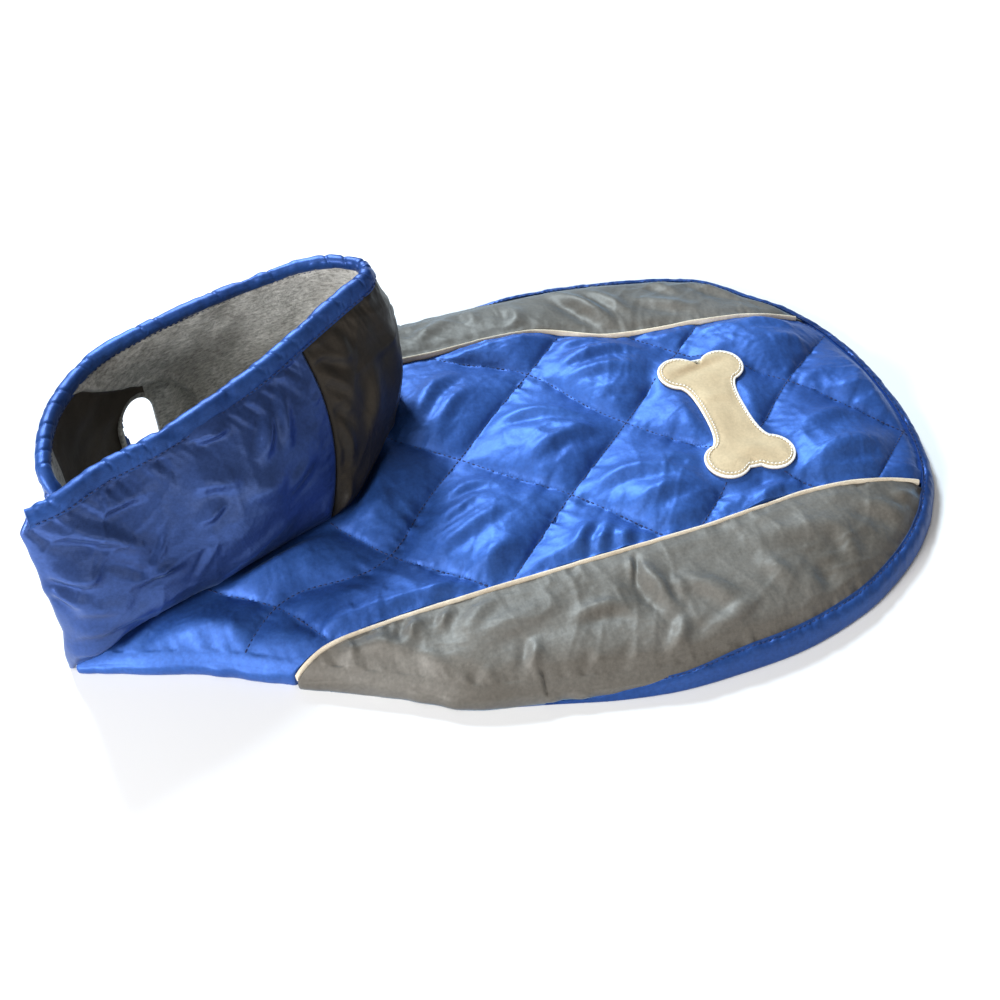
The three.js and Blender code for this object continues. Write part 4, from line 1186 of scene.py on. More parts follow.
def build_bone():
    """The applique, its cloth rounded off at the edge, and its outline."""
    edge = bone_outline(BONE_EDGE_STEPS)
    spine = edge.copy()
    spine[:, 0] = np.clip(spine[:, 0], -BONE_SPINE_HALF, BONE_SPINE_HALF)
    spine[:, 1] = 0
    rings = np.linspace(0, 1, BONE_RINGS + 1)[:, None, None]
    flat = lerp(spine[None], edge[None], 1 - (1 - rings) ** 1.4)
    x, y = bone_place(flat)
    gap = np.linalg.norm(flat - edge[None], axis=-1)
    near_edge = 1 - np.clip(gap / BONE_EDGE_ROUND, 0, 1)
    round_off = BONE_EDGE_DROP * (1 - np.sqrt(1 - near_edge ** 2))
    detail = folds(x, y, BONE_FOLDS) + 0.35 * crumple(x, y, size=12, seed=77)
    ground = quilt_top(x, y)
    z = ground + BONE_CLOTH + detail * smooth(0, 6, gap) + 0.5 * smooth(1, 9, gap) - round_off
    outer = np.stack([x, y, z], -1)
    inner = np.stack([x, y, ground + BONE_UNDER], -1)
    outer = np.concatenate([outer, outer[:, :1]], 1)
    inner = np.concatenate([inner, inner[:, :1]], 1)
    points, faces, _ = shell_mesh(outer, inner)
    piece = add_piece("bone_patch", points, faces, COTTON, "applique_cream")
    weld(piece)
    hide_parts("bone_applique")
    return piece, np.concatenate([edge, edge[:1]])


def weld(piece):
    """Joins points of a piece that lie on each other."""
    bm = bmesh.new()
    bm.from_mesh(piece.data)
    bmesh.ops.remove_doubles(bm, verts=bm.verts, dist=WELD_DISTANCE)
    bmesh.ops.recalc_face_normals(bm, faces=bm.faces)
    bm.to_mesh(piece.data)
    bm.free()
    piece.data.shade_smooth()


def outward(edge):
    """Unit steps outward at each point of a closed outline that ends where it starts."""
    ring = edge[:-1]
    run = np.roll(ring, -1, axis=0) - np.roll(ring, 1, axis=0)
    out = np.stack([run[:, 1], -run[:, 0]], 1) / np.linalg.norm(run, axis=1)[:, None]
    return np.concatenate([out, out[:1]])


BORDER_PITCH = 1.0
BORDER_HALF_WIDTH = 0.9
BORDER_HALF_HEIGHT = 0.85
BORDER_UNDER_HEIGHT = 0.8
BORDER_RISE = 1.8
BORDER_INSET = 0.4
BORDER_STATIONS = 1500
BORDER_SIDES = 8


def build_bone_border(edge):
    """White satin-stitched border round the applique, with its ribs of thread."""
    out = outward(edge)
    lengths = run_lengths(edge)
    even = np.linspace(0, lengths[-1], BORDER_STATIONS)
    at = run_at(even, lengths, edge)
    away = run_at(even, lengths, out)
    rib = 0.75 + 0.25 * np.abs(np.sin(np.pi * even / BORDER_PITCH))
    rings = np.empty((len(even), BORDER_SIDES, 3))
    for k, angle in enumerate(circle(BORDER_SIDES)):
        flat = at + away * (BORDER_HALF_WIDTH * math.cos(angle) - BORDER_INSET)
        x, y = bone_place(flat)
        half = BORDER_HALF_HEIGHT * rib if math.sin(angle) > 0 else BORDER_UNDER_HEIGHT
        rings[:, k, 0] = x
        rings[:, k, 1] = y
        rings[:, k, 2] = quilt_top(x, y) + BORDER_RISE + half * math.sin(angle)
    points, faces = tube_mesh(rings[:-1], closed=True)
    return add_piece("bone_border", points, faces, BORDER, "applique_cream")


# Collar
FRAME_REACH = 0.1
LENGTH_STEPS = 500
RIM_PRESS = 1.9
HEM_ROUND = 3.0
WALL_PRESS_SHARE = 0.29
SEAM_OPEN = 0.004
NEAR_FLAP_GRID = (190, 120)
GUSSET_GRID = (200, 90)
FAR_FLAP_GRID = (260, 84)


def collar_plan(at, ends):
    """Plan places of the collar's foot or rim at each station."""
    return np.stack([collar_at(at, f"{ends}_x"), collar_at(at, f"{ends}_y")], -1)


def collar_frame(at, up):
    """Outward and forward directions in plan at a station and share of height."""
    def along(t):
        return lerp(collar_plan(t, "foot"), collar_plan(t, "rim"), up[..., None])

    ahead = along(np.minimum(at + FRAME_REACH, COLLAR_END))
    run = ahead - along(np.maximum(at - FRAME_REACH, 0))
    run /= np.linalg.norm(run, axis=-1)[..., None]
    return np.stack([run[..., 1], -run[..., 0]], -1), run


def collar_point(at, up, depth):
    """A point of the collar, at a depth in from the smooth outer face of its wall."""
    at, up, depth = np.broadcast_arrays(np.asarray(at, float), np.asarray(up, float), depth)
    out, _ = collar_frame(at, up)
    plan = lerp(collar_plan(at, "foot"), collar_plan(at, "rim"), up[..., None])
    fullness = np.sin(np.pi * np.clip(up, 0, 1) ** 0.75)
    plan = plan + out * (collar_at(at, "bulge") * fullness - depth)[..., None]
    sway = collar_at(at, "sway") * np.sin(np.pi * up)
    plan = plan + np.stack([-out[..., 1], out[..., 0]], -1) * sway[..., None]
    seat = collar_seat(plan[..., 0], plan[..., 1])
    return np.stack([plan[..., 0], plan[..., 1], lerp(seat, collar_at(at, "rim_z"), up)], -1)


def collar_seat(x, y):
    """Height at which the collar stands: the shoulder pressed flat under it."""
    d = edge_distance(x, y)
    a, b = quilt_lattice(x, y)
    loft = SEAT_LOFT * quilt_puff(a, b, SEAT_VALLEY, SEAT_FULLNESS)
    rise = lerp(loft, QUILT_FLAT, collar_press(x, y))
    return body_height(x, y, d) + rise * smooth(*FREE_OF_EDGE, d) - squeezed(x, d) + COLLAR_SEAT


def sheet_length():
    """Length of cloth round the collar up to each station."""
    at = np.linspace(0, COLLAR_END, LENGTH_STEPS + 1)
    middle = lerp(collar_plan(at, "foot"), collar_plan(at, "rim"), 0.5)
    return at, run_lengths(middle)


STATIONS, LENGTHS = sheet_length()


def cloth_length(at):
    """Length of cloth round the collar up to a station."""
    return np.interp(at, STATIONS, LENGTHS)


def wall_grid(start, end, rows, columns):
    """Even stations along a stretch of the collar and levels up it, closer at both edges."""
    length = np.linspace(cloth_length(start), cloth_length(end), rows + 1)
    at = np.interp(length, LENGTHS, STATIONS)
    t = np.linspace(0, 1, columns + 1)
    up = closer_at_ends(t, 0.5)
    at, up = np.meshgrid(at, up, indexing="ij")
    return at, up, cloth_length(at), up * WALL_HEIGHT


def rounded(gap, radius):
    """How far a surface falls back over its last radius to an edge."""
    q = np.clip(gap / radius, 0, 1)
    return radius * (1 - np.sqrt(1 - (1 - q) ** 2))


# Creases of the collar: length round it, height up it, then width and height
NEAR_FLAP_FOLDS = table(
    FOLD_COLUMNS,
    (10, 102, 36, 82, 66, 54, 5, 3.4, .9),
    (0, 78, 20, 68, 30, 56, 5, 3.0, .8),
    (2, 66, 10, 58, 20, 46, 4, 2.4, .7),
    (34, 96, 52, 95, 74, 92, 5, 2.6, .5),
    (24, 80, 46, 64, 70, 38, 4.5, 2.2, .7),
    (98, 105, 111, 101, 126, 100, 4, 2.6, .6),
    (84, 86, 104, 86, 118, 70, 6, 2.6, .5),
    (114, 70, 132, 64, 148, 42, 8, 2.4, .3),
    (96, 56, 87, 38, 80, 22, 2.6, .7, .6),
    (78, 74, 64, 58, 52, 42, 2.6, .7, .6),
    (150, 94, 140, 84, 130, 72, 4.5, 2.2, .5),
    (160, 100, 152, 86, 150, 66, 4.5, 2.0, .5),
    (84, 66, 97, 64, 104, 72, 4, 1.6, .5),
    (38, 47, 58, 42, 78, 43, 4, 1.8, .5),
    (0, 34, 34, 26, 74, 16, 7, 2.8, .3),
    (2, 18, 20, 14, 44, 12, 5, 2.2, .5),
    (10, 50, 24, 42, 44, 30, 5, 2.0, .4),
    (96, 24, 124, 20, 156, 26, 7, 2.2, .3),
    (140, 50, 152, 46, 166, 54, 6, 1.8, .4),
)
GUSSET_FOLDS = table(
    FOLD_COLUMNS,
    (183, 92, 200, 76, 214, 56, 5, 2.4, .6),
    (183, 78, 196, 66, 206, 50, 4, 2.2, .6),
    (186, 60, 198, 44, 196, 26, 4, 2.2, .6),
    (186, 99, 198, 90, 214, 84, 3.5, 1.8, .6),
    (204, 106, 208, 90, 204, 74, 6, 2.2, .4),
    (228, 76, 226, 52, 218, 30, 9, 3.0, .4),
    (194, 24, 193, 12, 190, 4, 4, 1.6, .5),
    (252, 98, 256, 64, 250, 24, 9, 2.6, .4),
    (280, 94, 288, 60, 282, 26, 8, 2.4, .4),
    (310, 98, 318, 64, 314, 24, 8, 2.2, .4),
    (340, 92, 348, 62, 344, 26, 8, 2.4, .4),
    (372, 96, 376, 60, 370, 24, 7, 2.4, .4),
)
FAR_FLAP_FOLDS = table(
    FOLD_COLUMNS,
    (436, 80, 470, 66, 500, 70, 6, -2.8, .5),
    (450, 40, 480, 34, 510, 40, 7, -2.6, .4),
    (470, 96, 500, 84, 520, 60, 7, 2.4, .4),
    (520, 84, 540, 70, 572, 72, 6, -2.4, .4),
    (556, 40, 580, 50, 610, 44, 7, 2.4, .4),
    (590, 92, 612, 76, 640, 80, 7, 2.4, .4),
    (620, 60, 650, 48, 676, 54, 7, -2.4, .4),
    (460, 22, 500, 16, 550, 22, 8, 2.2, .3),
    (580, 20, 620, 14, 660, 20, 8, 2.0, .3),
)
LINING_FOLDS = table(
    FOLD_COLUMNS,
    (440, 92, 480, 84, 530, 92, 12, 1.6, .3),
    (470, 60, 510, 70, 550, 64, 12, 1.4, .3),
    (560, 96, 600, 86, 640, 92, 12, 1.4, .3),
    (380, 90, 400, 70, 410, 40, 12, 1.4, .3),
    (300, 80, 320, 60, 330, 30, 12, 1.2, .3),
    (60, 80, 110, 70, 160, 80, 12, 1.4, .3),
)


def seam_gathers(length, up_mm, seam, seed):
    """Gathers that run off a standing seam of the collar."""
    away = np.abs(length - cloth_length(seam))
    return puckers(up_mm, away, pitch=4.6, reach=7, seed=seed)


def flap_relief(length, up_mm, rows, seed, seams, gather, depth=1.0):
    """Creases of a collar piece, its gathers at rim, foot and seams, and its low swell."""
    relief = depth * folds(length, up_mm, rows)
    slanted = length + 0.6 * up_mm
    below_tape = np.maximum(WALL_HEIGHT - 8 - up_mm, 0)
    relief += 3.4 * puckers(slanted, below_tape, pitch=7.5, reach=13, seed=seed)
    relief += 1.2 * puckers(length, up_mm, pitch=8, reach=10, seed=seed + 2)
    broad = 1.7 * crumple(length, up_mm, size=32, seed=seed + 4)
    relief += broad + 0.2 * crumple(length, up_mm, size=10, seed=seed + 6)
    relief += 2.0 * np.exp(-((up_mm - 11) / 8) ** 2)
    for seam in seams:
        relief += gather * seam_gathers(length, up_mm, seam, seed + 8)
    return relief


def rim_press(up_mm):
    """How far the rim tape squeezes each face of the wall toward its middle."""
    return RIM_PRESS * smooth(WALL_HEIGHT - 34, WALL_HEIGHT - 5, up_mm)


def padded_wall(start, end, grid, relief):
    """Outer and inner grids of one stretch of the collar's padded shell."""
    at, up, length, up_mm = wall_grid(start, end, *grid)
    gap = up_mm + 0.4
    gap = np.minimum(gap, length - length[0, 0] + 0.2)
    gap = np.minimum(gap, length[-1, 0] - length + 0.2)
    back = rounded(gap, HEM_ROUND)
    fade = smooth(0, 8, gap) * smooth(0, 8, WALL_HEIGHT - up_mm)
    height = relief(length, up_mm) * fade
    press = rim_press(up_mm)
    outer = collar_point(at, up, back * 0.8 - height + press)
    inner = collar_point(at, up, SHELL_WALL - back * 0.3 - WALL_PRESS_SHARE * press)
    return outer, inner, length, up_mm


FRONT_SWELL = table("up out", (0, -1), (30, -4), (56, -2), (72, 2.5), (96, 4.5), (112, 4.5))


def flap_drape(length, up_mm):
    """The near flap's folded front edge swells forward and its corner hangs to the ground."""
    forward = np.exp(-(length / 26) ** 2) * smooth(0, 12, WALL_HEIGHT - up_mm)
    corner = smooth(40, 0, length) * smooth(34, 0, up_mm)
    swell = np.interp(up_mm, FRONT_SWELL["up"], FRONT_SWELL["out"])
    swell = swell + 1.3 * noise(up_mm / 15, 0 * length, 211)
    return np.stack([-swell * forward, -2.0 * corner - 1.2 * forward, -3.4 * corner], -1)


def arch_half_width(z):
    """Half the leg opening's width at a height: upright sides under a round top."""
    spring = LEG_OPENING["top"] - LEG_OPENING["shoulder"]
    q = np.clip((z - spring) / LEG_OPENING["shoulder"], 0, 1)
    return LEG_OPENING["half_width"] * np.sqrt(np.clip(1 - q ** 2, 0, 1))


ARCH_FOOT = 12.0
ARCH_SEAT = 24.0
ARCH_RIM = 124.0
ARCH_FIT = 60


def arch_path(count):
    """Run of (x, z) points up one side of the leg opening and down the other."""
    spring = LEG_OPENING["top"] - LEG_OPENING["shoulder"]
    up = np.linspace(ARCH_FOOT, spring, count)
    turn = np.linspace(0, np.pi, 2 * count)
    x = np.concatenate([np.full(count, 1.0), np.cos(turn), np.full(count, -1.0)])
    z = np.concatenate([up, spring + LEG_OPENING["shoulder"] * np.sin(turn), up[::-1]])
    return LEG_OPENING["x"] + LEG_OPENING["half_width"] * x, z


def open_leg(grid):
    """Faces kept outside the leg opening; points beside it are moved to its edge."""
    centre = (grid[:-1, :-1] + grid[1:, 1:] + grid[1:, :-1] + grid[:-1, 1:]) / 4
    off = np.abs(centre[..., 0] - LEG_OPENING["x"])
    inside = (off < arch_half_width(centre[..., 2])) & (centre[..., 2] < LEG_OPENING["top"])
    inside &= centre[..., 1] > LEG_OPENING["near_y"]
    keep = ~inside
    touched = np.zeros(grid.shape[:2], int)
    for di in (0, 1):
        for dj in (0, 1):
            touched[di:di + keep.shape[0], dj:dj + keep.shape[1]] += inside
    border = (touched > 0) & (touched < 4)
    px, pz = arch_path(ARCH_FIT)
    i, j = np.nonzero(border)
    spots = grid[i, j]
    nearest = np.argmin((spots[:, None, 0] - px) ** 2 + (spots[:, None, 2] - pz) ** 2, axis=1)
    grid[i, j, 0] = px[nearest]
    grid[i, j, 2] = np.where(spots[:, 2] > ARCH_SEAT, pz[nearest], spots[:, 2])
    return keep


def near_flap_relief(length, up_mm):
    """The near flap's creases, on the broad turn in its middle."""
    turn = 8.5 * np.exp(-((length - 112) / 36) ** 2) * np.sin(np.pi * up_mm / WALL_HEIGHT)
    return turn + flap_relief(length, up_mm, NEAR_FLAP_FOLDS, 101, (SEAM_NEAR,), 1.6, 1.5)


def build_flap_near():
    outer, inner, length, up_mm = padded_wall(
        0, SEAM_NEAR - SEAM_OPEN, NEAR_FLAP_GRID, near_flap_relief
    )
    drape = flap_drape(length, up_mm)
    points, faces, _ = shell_mesh(outer + drape, inner + drape)
    piece = add_piece("flap_near", points, faces, NAVY, "collar_blue")
    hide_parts("collar_near_flap")
    return piece


def gusset_relief(length, up_mm):
    return flap_relief(length, up_mm, GUSSET_FOLDS, 131, (SEAM_NEAR, SEAM_FAR), 2.4)


def build_gusset():
    outer, inner, _, _ = padded_wall(
        SEAM_NEAR + SEAM_OPEN, SEAM_FAR - SEAM_OPEN, GUSSET_GRID, gusset_relief
    )
    points, faces, _ = shell_mesh(outer, inner)
    piece = add_piece("gusset", points, faces, OLIVE, "gusset_olive")
    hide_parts("collar_gusset")
    return piece


def far_flap_relief(length, up_mm):
    return flap_relief(length, up_mm, FAR_FLAP_FOLDS, 151, (SEAM_FAR,), 1.2)


def build_flap_far():
    outer, inner, _, _ = padded_wall(SEAM_FAR + SEAM_OPEN, COLLAR_END, FAR_FLAP_GRID, far_flap_relief)
    keep = open_leg(outer)
    open_leg(inner)
    points, faces, _ = shell_mesh(outer, inner, keep)
    piece = add_piece("flap_far", points, faces, NAVY, "collar_blue")
    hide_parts("collar_far_flap")
    return piece


# Collar lining
def lining_relief(length, up_mm):
    """Broad soft waves of the fleece, and its gathers under the rim."""
    relief = folds(length, up_mm, LINING_FOLDS)
    waves = 1.4 * noise(length / 40, up_mm / 30, 171)
    relief += waves + 0.5 * noise(length / 14, up_mm / 12, 173)
    relief += 0.8 * puckers(length, np.maximum(WALL_HEIGHT - 9 - up_mm, 0), pitch=9, reach=8, seed=175)
    return relief * smooth(0, 8, up_mm) * smooth(0, 8, WALL_HEIGHT - up_mm)


# Lower edge of the fleece facing on the far wall, and the dark brown lining below it, darkened partly
# as painted shade under the hem
FLEECE_HEM = table(
    "length up",
    (400, -20), (421, 5), (426, 32), (441, 58), (457, 66), (476, 78), (495, 92), (513, 106), (560, 118),
)
FLEECE_STEP = 4.0
FLEECE_WALL = 1.5
LINING_START = 0.45
LINING_GRID = (420, 80)
LINING_PRESS_SHARE = 0.76
POST_MIDDLE = 441.0
POST_HALF_WIDTH = 8.0
POST_RISE = 3.0
FACING_AND_SHADE_LENGTHS = (456.0, 556.0)
fleece_hem_at = curve(FLEECE_HEM, "length")


def fleece_hem(length):
    return fleece_hem_at(length, "up")


def fleece_band(length, up_mm):
    """How far the fleece stands off the wall: a band above its hem, thin below it."""
    hem = fleece_hem(length) + 1.2 * noise(length / 9, 0 * length, 221)
    above = smooth(-1.2, 1.6, up_mm - hem)
    elsewhere = 1 - smooth(396, 412, length) * (1 - smooth(548, 566, length))
    roll = 1.4 * np.exp(-((up_mm - hem - 3) / 3.5) ** 2) * (1 - elsewhere)
    return np.maximum(above, elsewhere) * FLEECE_STEP + roll


def build_lining():
    """Fleece round the inside of the neck, raised in a post beside the leg opening."""
    at, up, length, up_mm = wall_grid(LINING_START, COLLAR_END, *LINING_GRID)
    height = np.clip(lining_relief(length, up_mm), -1.5, 2.5)
    rise = fleece_band(length, up_mm) - FLEECE_WALL
    post = np.exp(-((length - POST_MIDDLE) / POST_HALF_WIDTH) ** 2) * smooth(62, 50, up_mm)
    rise = rise + POST_RISE * post
    to_rim = smooth(0, 10, WALL_HEIGHT - up_mm)
    press = rim_press(up_mm)
    inner_face = collar_point(at, up, LINING_IN + (height + rise) * to_rim - press)
    outer_face = collar_point(at, up, LINING_OUT - 0.4 - LINING_PRESS_SHARE * press)
    keep = open_leg(inner_face)
    open_leg(outer_face)
    points, faces, shown = shell_mesh(inner_face, outer_face, keep)
    at_length = (length[:-1, :-1] + length[1:, 1:]) / 2
    at_height = (up_mm[:-1, :-1] + up_mm[1:, 1:]) / 2
    # Faces below the hem take the dark brown lining, which is partly painted shade of the recess under
    # the fleece
    below = at_height < fleece_hem(at_length) - 0.4
    below &= (at_length > FACING_AND_SHADE_LENGTHS[0]) & (at_length < FACING_AND_SHADE_LENGTHS[1])
    parts = np.zeros(len(faces), int)
    parts[:shown] = below[keep]
    lining = add_piece("neck_lining", points, faces, (FLEECE, FACING_AND_SHADE), "fleece_grey", parts)
    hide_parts("collar_lining")
    return lining


FLOOR_GRID = (120, 90)
FLOOR_NAP = 3.7
FLOOR_UNDER = 0.2


def build_floor():
    """Fleece on the shoulder inside the neck."""
    s, t = grid_places(*FLOOR_GRID)
    x = lerp(FLOOR["x"][0], FLOOR["x"][-1], s)
    y = lerp(floor_at(x, "near"), floor_at(x, "far"), t)
    seat = collar_seat(x, y)
    sag = 1.2 * noise(x / 30, y / 26, 181) + 0.5 * noise(x / 11, y / 10, 183)
    top = np.stack([x, y, seat + FLOOR_NAP + sag], -1)
    low = np.stack([x, y, seat + FLOOR_UNDER], -1)
    points, faces, _ = shell_mesh(top, low)
    piece = add_piece("shoulder_fleece", points, faces, FLEECE, "fleece_grey")
    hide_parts("shoulder_lining")
    return piece


# Rim tape section: out is outward of the wall's middle, rise is above its top
RIM_SECTION = table(
    "out rise",
    (1, -7.6), (1.02, -7), (1, -6.3), (1.1, -5.2), (1.17, -3.8), (1.17, -2.4), (1.12, -1), (1, .3),
    (.8, 1.2), (.55, 1.9), (.28, 2.3), (0, 2.4), (-.28, 2.3), (-.55, 1.9), (-.8, 1.2), (-1, .3),
    (-1.12, -1), (-1.17, -2.4), (-1.17, -3.8), (-1.1, -5.2), (-1, -6.3), (-1.02, -7), (-1, -7.6),
)
RIM_TAPE_HALF = LINING_IN / 2 - RIM_PRESS + 1.1
RIM_TAPE_CLOTH = 0.8
RIM_STATIONS = 900
RIM_SEAM_POINT = 2
RIM_SEAM_ENDS = 4


def build_rim():
    """The folded tape round the rim, and the runs of its stitches on both faces."""
    length = np.linspace(0, LENGTHS[-1], RIM_STATIONS)
    at = np.interp(length, LENGTHS, STATIONS)
    half = LINING_IN / 2
    count = len(RIM_SECTION["out"])
    outer = np.empty((len(at), count, 3))
    inner = np.empty_like(outer)
    for j, (out, rise) in enumerate(zip(RIM_SECTION["out"], RIM_SECTION["rise"])):
        up = np.full_like(at, 1 + min(rise, 0) / WALL_HEIGHT)
        round_way = math.atan2(rise + 4, out) * 4
        drift = length + 5 * noise(length / 31, 0 * length, 197)
        wrinkle = 0.5 + 0.85 * creases((drift + 2.6 * round_way) / 11, round_way / 40, 191)
        wrinkle += 0.25 * noise((length - 1.1 * round_way) / 5, round_way / 9, 193)
        loose = wrinkle * smooth(-6.8, -4.6, rise)
        p = collar_point(at, up, half - out * RIM_TAPE_HALF - np.sign(out) * loose)
        p[:, 2] += max(rise, 0) + (loose if rise > 0 else 0)
        outer[:, j] = p
        q = collar_point(at, up, half - out * (RIM_TAPE_HALF - RIM_TAPE_CLOTH))
        q[:, 2] += max(rise, 0) - (RIM_TAPE_CLOTH if rise > 0 else 0)
        inner[:, j] = q
    front = flap_drape(length, np.full_like(length, WALL_HEIGHT))[:, None]
    rim = add_piece("rim_tape", *tape_mesh(outer + front, inner + front), TAPE, "binding_blue")
    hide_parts("collar_binding")
    away, _ = collar_frame(at, np.ones_like(at))
    away = np.concatenate([away, np.zeros((len(at), 1))], 1)
    sewn = slice(RIM_SEAM_ENDS, -RIM_SEAM_ENDS)
    outside = (outer[sewn, RIM_SEAM_POINT], away[sewn])
    inside = (outer[sewn, count - 1 - RIM_SEAM_POINT], -away[sewn])
    return rim, [outside, inside]


OPENING_STATIONS = (16.5, 21.5)
OPENING_SIDES = 14
OPENING_THICK = 1.9
OPENING_STEPS = 26


def wall_y(x, up, depth):
    """Where the far wall, at a depth into it, crosses each x at its share of height."""
    at = np.linspace(*OPENING_STATIONS, 260)
    points = collar_point(at[None], up[:, None], depth)
    return np.array([np.interp(-value, -row[:, 0], row[:, 1]) for value, row in zip(x, points)])


def build_opening_edge():
    """The turned fleece edge round the leg opening."""
    x, z = arch_path(OPENING_STEPS)
    shown = z > ARCH_FOOT
    x, z = x[shown], z[shown]
    up = (z - ARCH_SEAT) / (ARCH_RIM - ARCH_SEAT)
    wall, lining = wall_y(x, up, 0.0), wall_y(x, up, LINING_IN + 0.6)
    middle, half = (wall + lining) / 2, np.abs(wall - lining) / 2 - 0.3
    run = np.gradient(np.stack([x, z], 1), axis=0)
    run /= np.linalg.norm(run, axis=1)[:, None]
    rings = np.empty((len(x), OPENING_SIDES, 3))
    for k, angle in enumerate(circle(OPENING_SIDES)):
        thick = OPENING_THICK * math.cos(angle)
        rings[:, k, 0] = x + run[:, 1] * thick
        rings[:, k, 1] = middle + half * math.sin(angle)
        rings[:, k, 2] = z - run[:, 0] * thick
    points, faces = tube_mesh(rings)
    return add_piece("opening_edge", points, faces, FLEECE, "fleece_grey")


# Stitching
UP = np.array([0.0, 0.0, 1.0])
HIDDEN_SEAM_X = -180.0
HIDDEN_SEAM_Y = 70.0
BEHIND_COLLAR_X = -112.0
BESIDE_CORD = 3.4
BONE_SEAM_IN = 2.4
BONE_SEAM_RISE = 3.0
FEWEST_POINTS = 6
LATTICE_RUN = (-5, 9, 1500)
LATTICE_LINES = range(-4, 9)


def on_quilt(x, y, lift=0.0):
    return np.stack([x, y, quilt_top(x, y) + lift], 1)


def quilt_rows():
    """Runs of the quilting stitches: each lattice line where the back shows."""
    rows = []
    t = np.linspace(*LATTICE_RUN)
    for family in (0, 1):
        for line in LATTICE_LINES:
            whole = np.full_like(t, float(line))
            x, y = quilt_point(whole, t) if family == 0 else quilt_point(t, whole)
            near = piping_at(x, "near") + BESIDE_CORD
            near = np.where(x < NEAR_SEAM_START, edge_at(x, "near") + 10, near)
            far = piping_at(x, "far") - BESIDE_CORD
            far = np.where(x < BEHIND_COLLAR_X, HIDDEN_SEAM_Y, far)
            shown = (x > -270) & (x < tail_at(y, "x") - 11) & (y > near) & (y < far)
            shown &= inside_distance(COLLAR_FOOT, x, y) < -1
            shown &= inside_distance(BONE_OUTLINE, *bone_frame(x, y)) < -1.5
            if family == 0 and line == 0:
                shown &= x > HIDDEN_SEAM_X
            for run in np.split(np.arange(len(t)), np.flatnonzero(~shown)):
                run = run[shown[run]]
                if len(run) > FEWEST_POINTS:
                    rows.append((on_quilt(x[run], y[run]), UP))
    return rows


def build_stitching(rim_rows, binding_seam, bone_edge):
    """Threads of the quilting, the rim tape, the edge tape and the applique."""
    quilting = stitches(quilt_rows(), pitch=3.5, length=3.1, radius=0.5, lift=0.12)
    threads = add_piece("quilting_thread", *quilting, THREAD_NAVY, "quilted_blue")
    rim = stitches(rim_rows, pitch=3.6, length=2.7, radius=0.42, lift=0.45)
    rim = add_piece("rim_thread", *rim, THREAD_NAVY, "binding_blue")
    edge = stitches([(binding_seam, UP)], pitch=3.6, length=2.7, radius=0.42, lift=0.2)
    edge = add_piece("edge_thread", *edge, THREAD_NAVY, "binding_blue")
    x, y = bone_place(bone_edge - BONE_SEAM_IN * outward(bone_edge))
    run = on_quilt(x, y, BONE_SEAM_RISE)
    bone = stitches([(run, UP)], pitch=2.6, length=1.9, radius=0.36, lift=0.4)
    bone = add_piece("bone_thread", *bone, BORDER, "applique_cream")
    return threads, rim, edge, bone


# Camera and lights: seen from the near side, 48 degrees down
CAMERA_EYE = (-0.1724, -0.5585, 0.6391)
CAMERA_TARGET = (-0.0041, -0.0082, 0.0)
CAMERA_LENS = 46.8
SENSOR_WIDTH = 36
STAGE_REACH = 6.0


def build_camera():
    data = bpy.data.cameras.new("camera")
    data.lens = CAMERA_LENS
    data.sensor_width = SENSOR_WIDTH
    camera = bpy.data.objects.new("camera", data)
    camera.location = CAMERA_EYE
    look = Vector(CAMERA_TARGET) - Vector(CAMERA_EYE)
    camera.rotation_euler = look.to_track_quat("-Z", "Y").to_euler()
    bpy.context.scene.collection.objects.link(camera)
    bpy.context.scene.camera = camera


def add_light(name, location, size, energy, colour):
    """A soft round light that faces the coat."""
    data = bpy.data.lights.new(name, "AREA")
    data.shape = "DISK"
    data.size = size
    data.energy = energy
    data.color = colour
    light = bpy.data.objects.new(name, data)
    light.location = location
    light.rotation_euler = (-Vector(location)).to_track_quat("-Z", "Y").to_euler()
    bpy.context.scene.collection.objects.link(light)


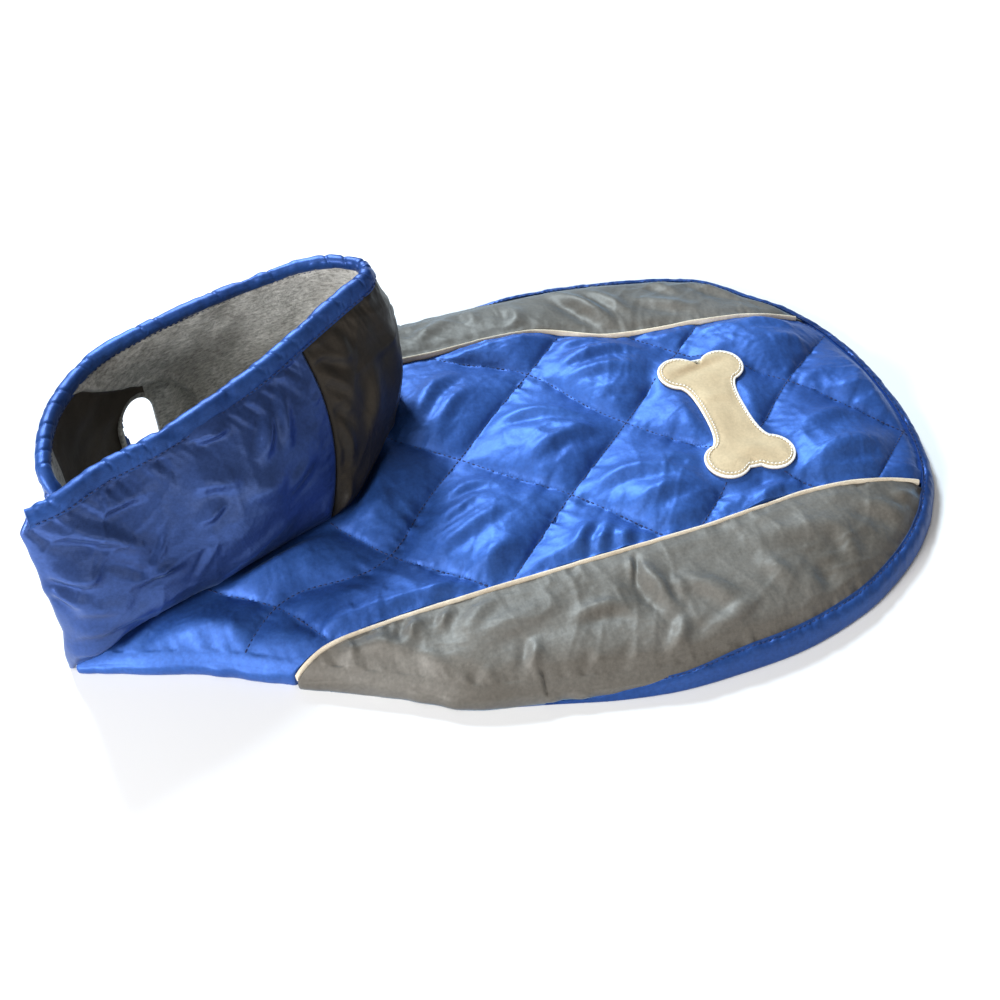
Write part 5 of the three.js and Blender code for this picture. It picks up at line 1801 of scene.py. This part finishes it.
def build_stage():
    """The pale surface that the coat lies on, under two windows and two soft fills."""
    mesh = bpy.data.meshes.new("floor")
    corners = [(x * STAGE_REACH, y * STAGE_REACH, 0) for x, y in ((-1, -1), (1, -1), (1, 1), (-1, 1))]
    mesh.from_pydata(corners, [], [(0, 1, 2, 3)])
    floor = bpy.data.objects.new("floor", mesh)
    bpy.context.scene.collection.objects.link(floor)
    paint = bpy.data.materials.new("floor_pale")
    paint.use_nodes = True
    shader = paint.node_tree.nodes["Principled BSDF"]
    shader.inputs["Base Color"].default_value = (0.80, 0.80, 0.80, 1)
    shader.inputs["Roughness"].default_value = 0.9
    mesh.materials.append(paint)
    world = bpy.data.worlds.new("studio")
    world.use_nodes = True
    sky = world.node_tree.nodes["Background"]
    sky.inputs["Color"].default_value = (0.97, 0.98, 1.0, 1)
    sky.inputs["Strength"].default_value = 0.20
    bpy.context.scene.world = world
    bpy.context.scene.view_settings.view_transform = "Standard"
    add_light("window", (-0.35, 1.95, 1.75), 0.7, 112, (0.74, 0.89, 1.0))
    add_light("side_window", (-1.8, -0.92, 0.92), 0.8, 66, (0.97, 0.98, 1.0))
    add_light("ceiling", (-0.9, -0.7, 2.3), 1.0, 14, (1.0, 0.98, 0.95))
    add_light("front_fill", (0.9, -1.6, 0.6), 1.0, 4, (1.0, 0.86, 0.68))


def build_coat():
    """Every piece of the coat."""
    back = build_back()
    near = build_side("near", -1, NEAR_GRID, *NEAR_PANEL_X)
    far = build_side("far", 1, FAR_GRID, *FAR_PANEL_X)
    cords = [build_piping("near", *NEAR_CORD_X), build_piping("far", *FAR_CORD_X)]
    binding, binding_seam = build_binding()
    bone, bone_edge = build_bone()
    border = build_bone_border(bone_edge)
    flap_near = build_flap_near()
    gusset = build_gusset()
    flap_far = build_flap_far()
    lining = build_lining()
    floor = build_floor()
    rim, rim_rows = build_rim()
    build_opening_edge()
    threads = build_stitching(rim_rows, binding_seam, bone_edge)


build_camera()
build_stage()
build_coat()
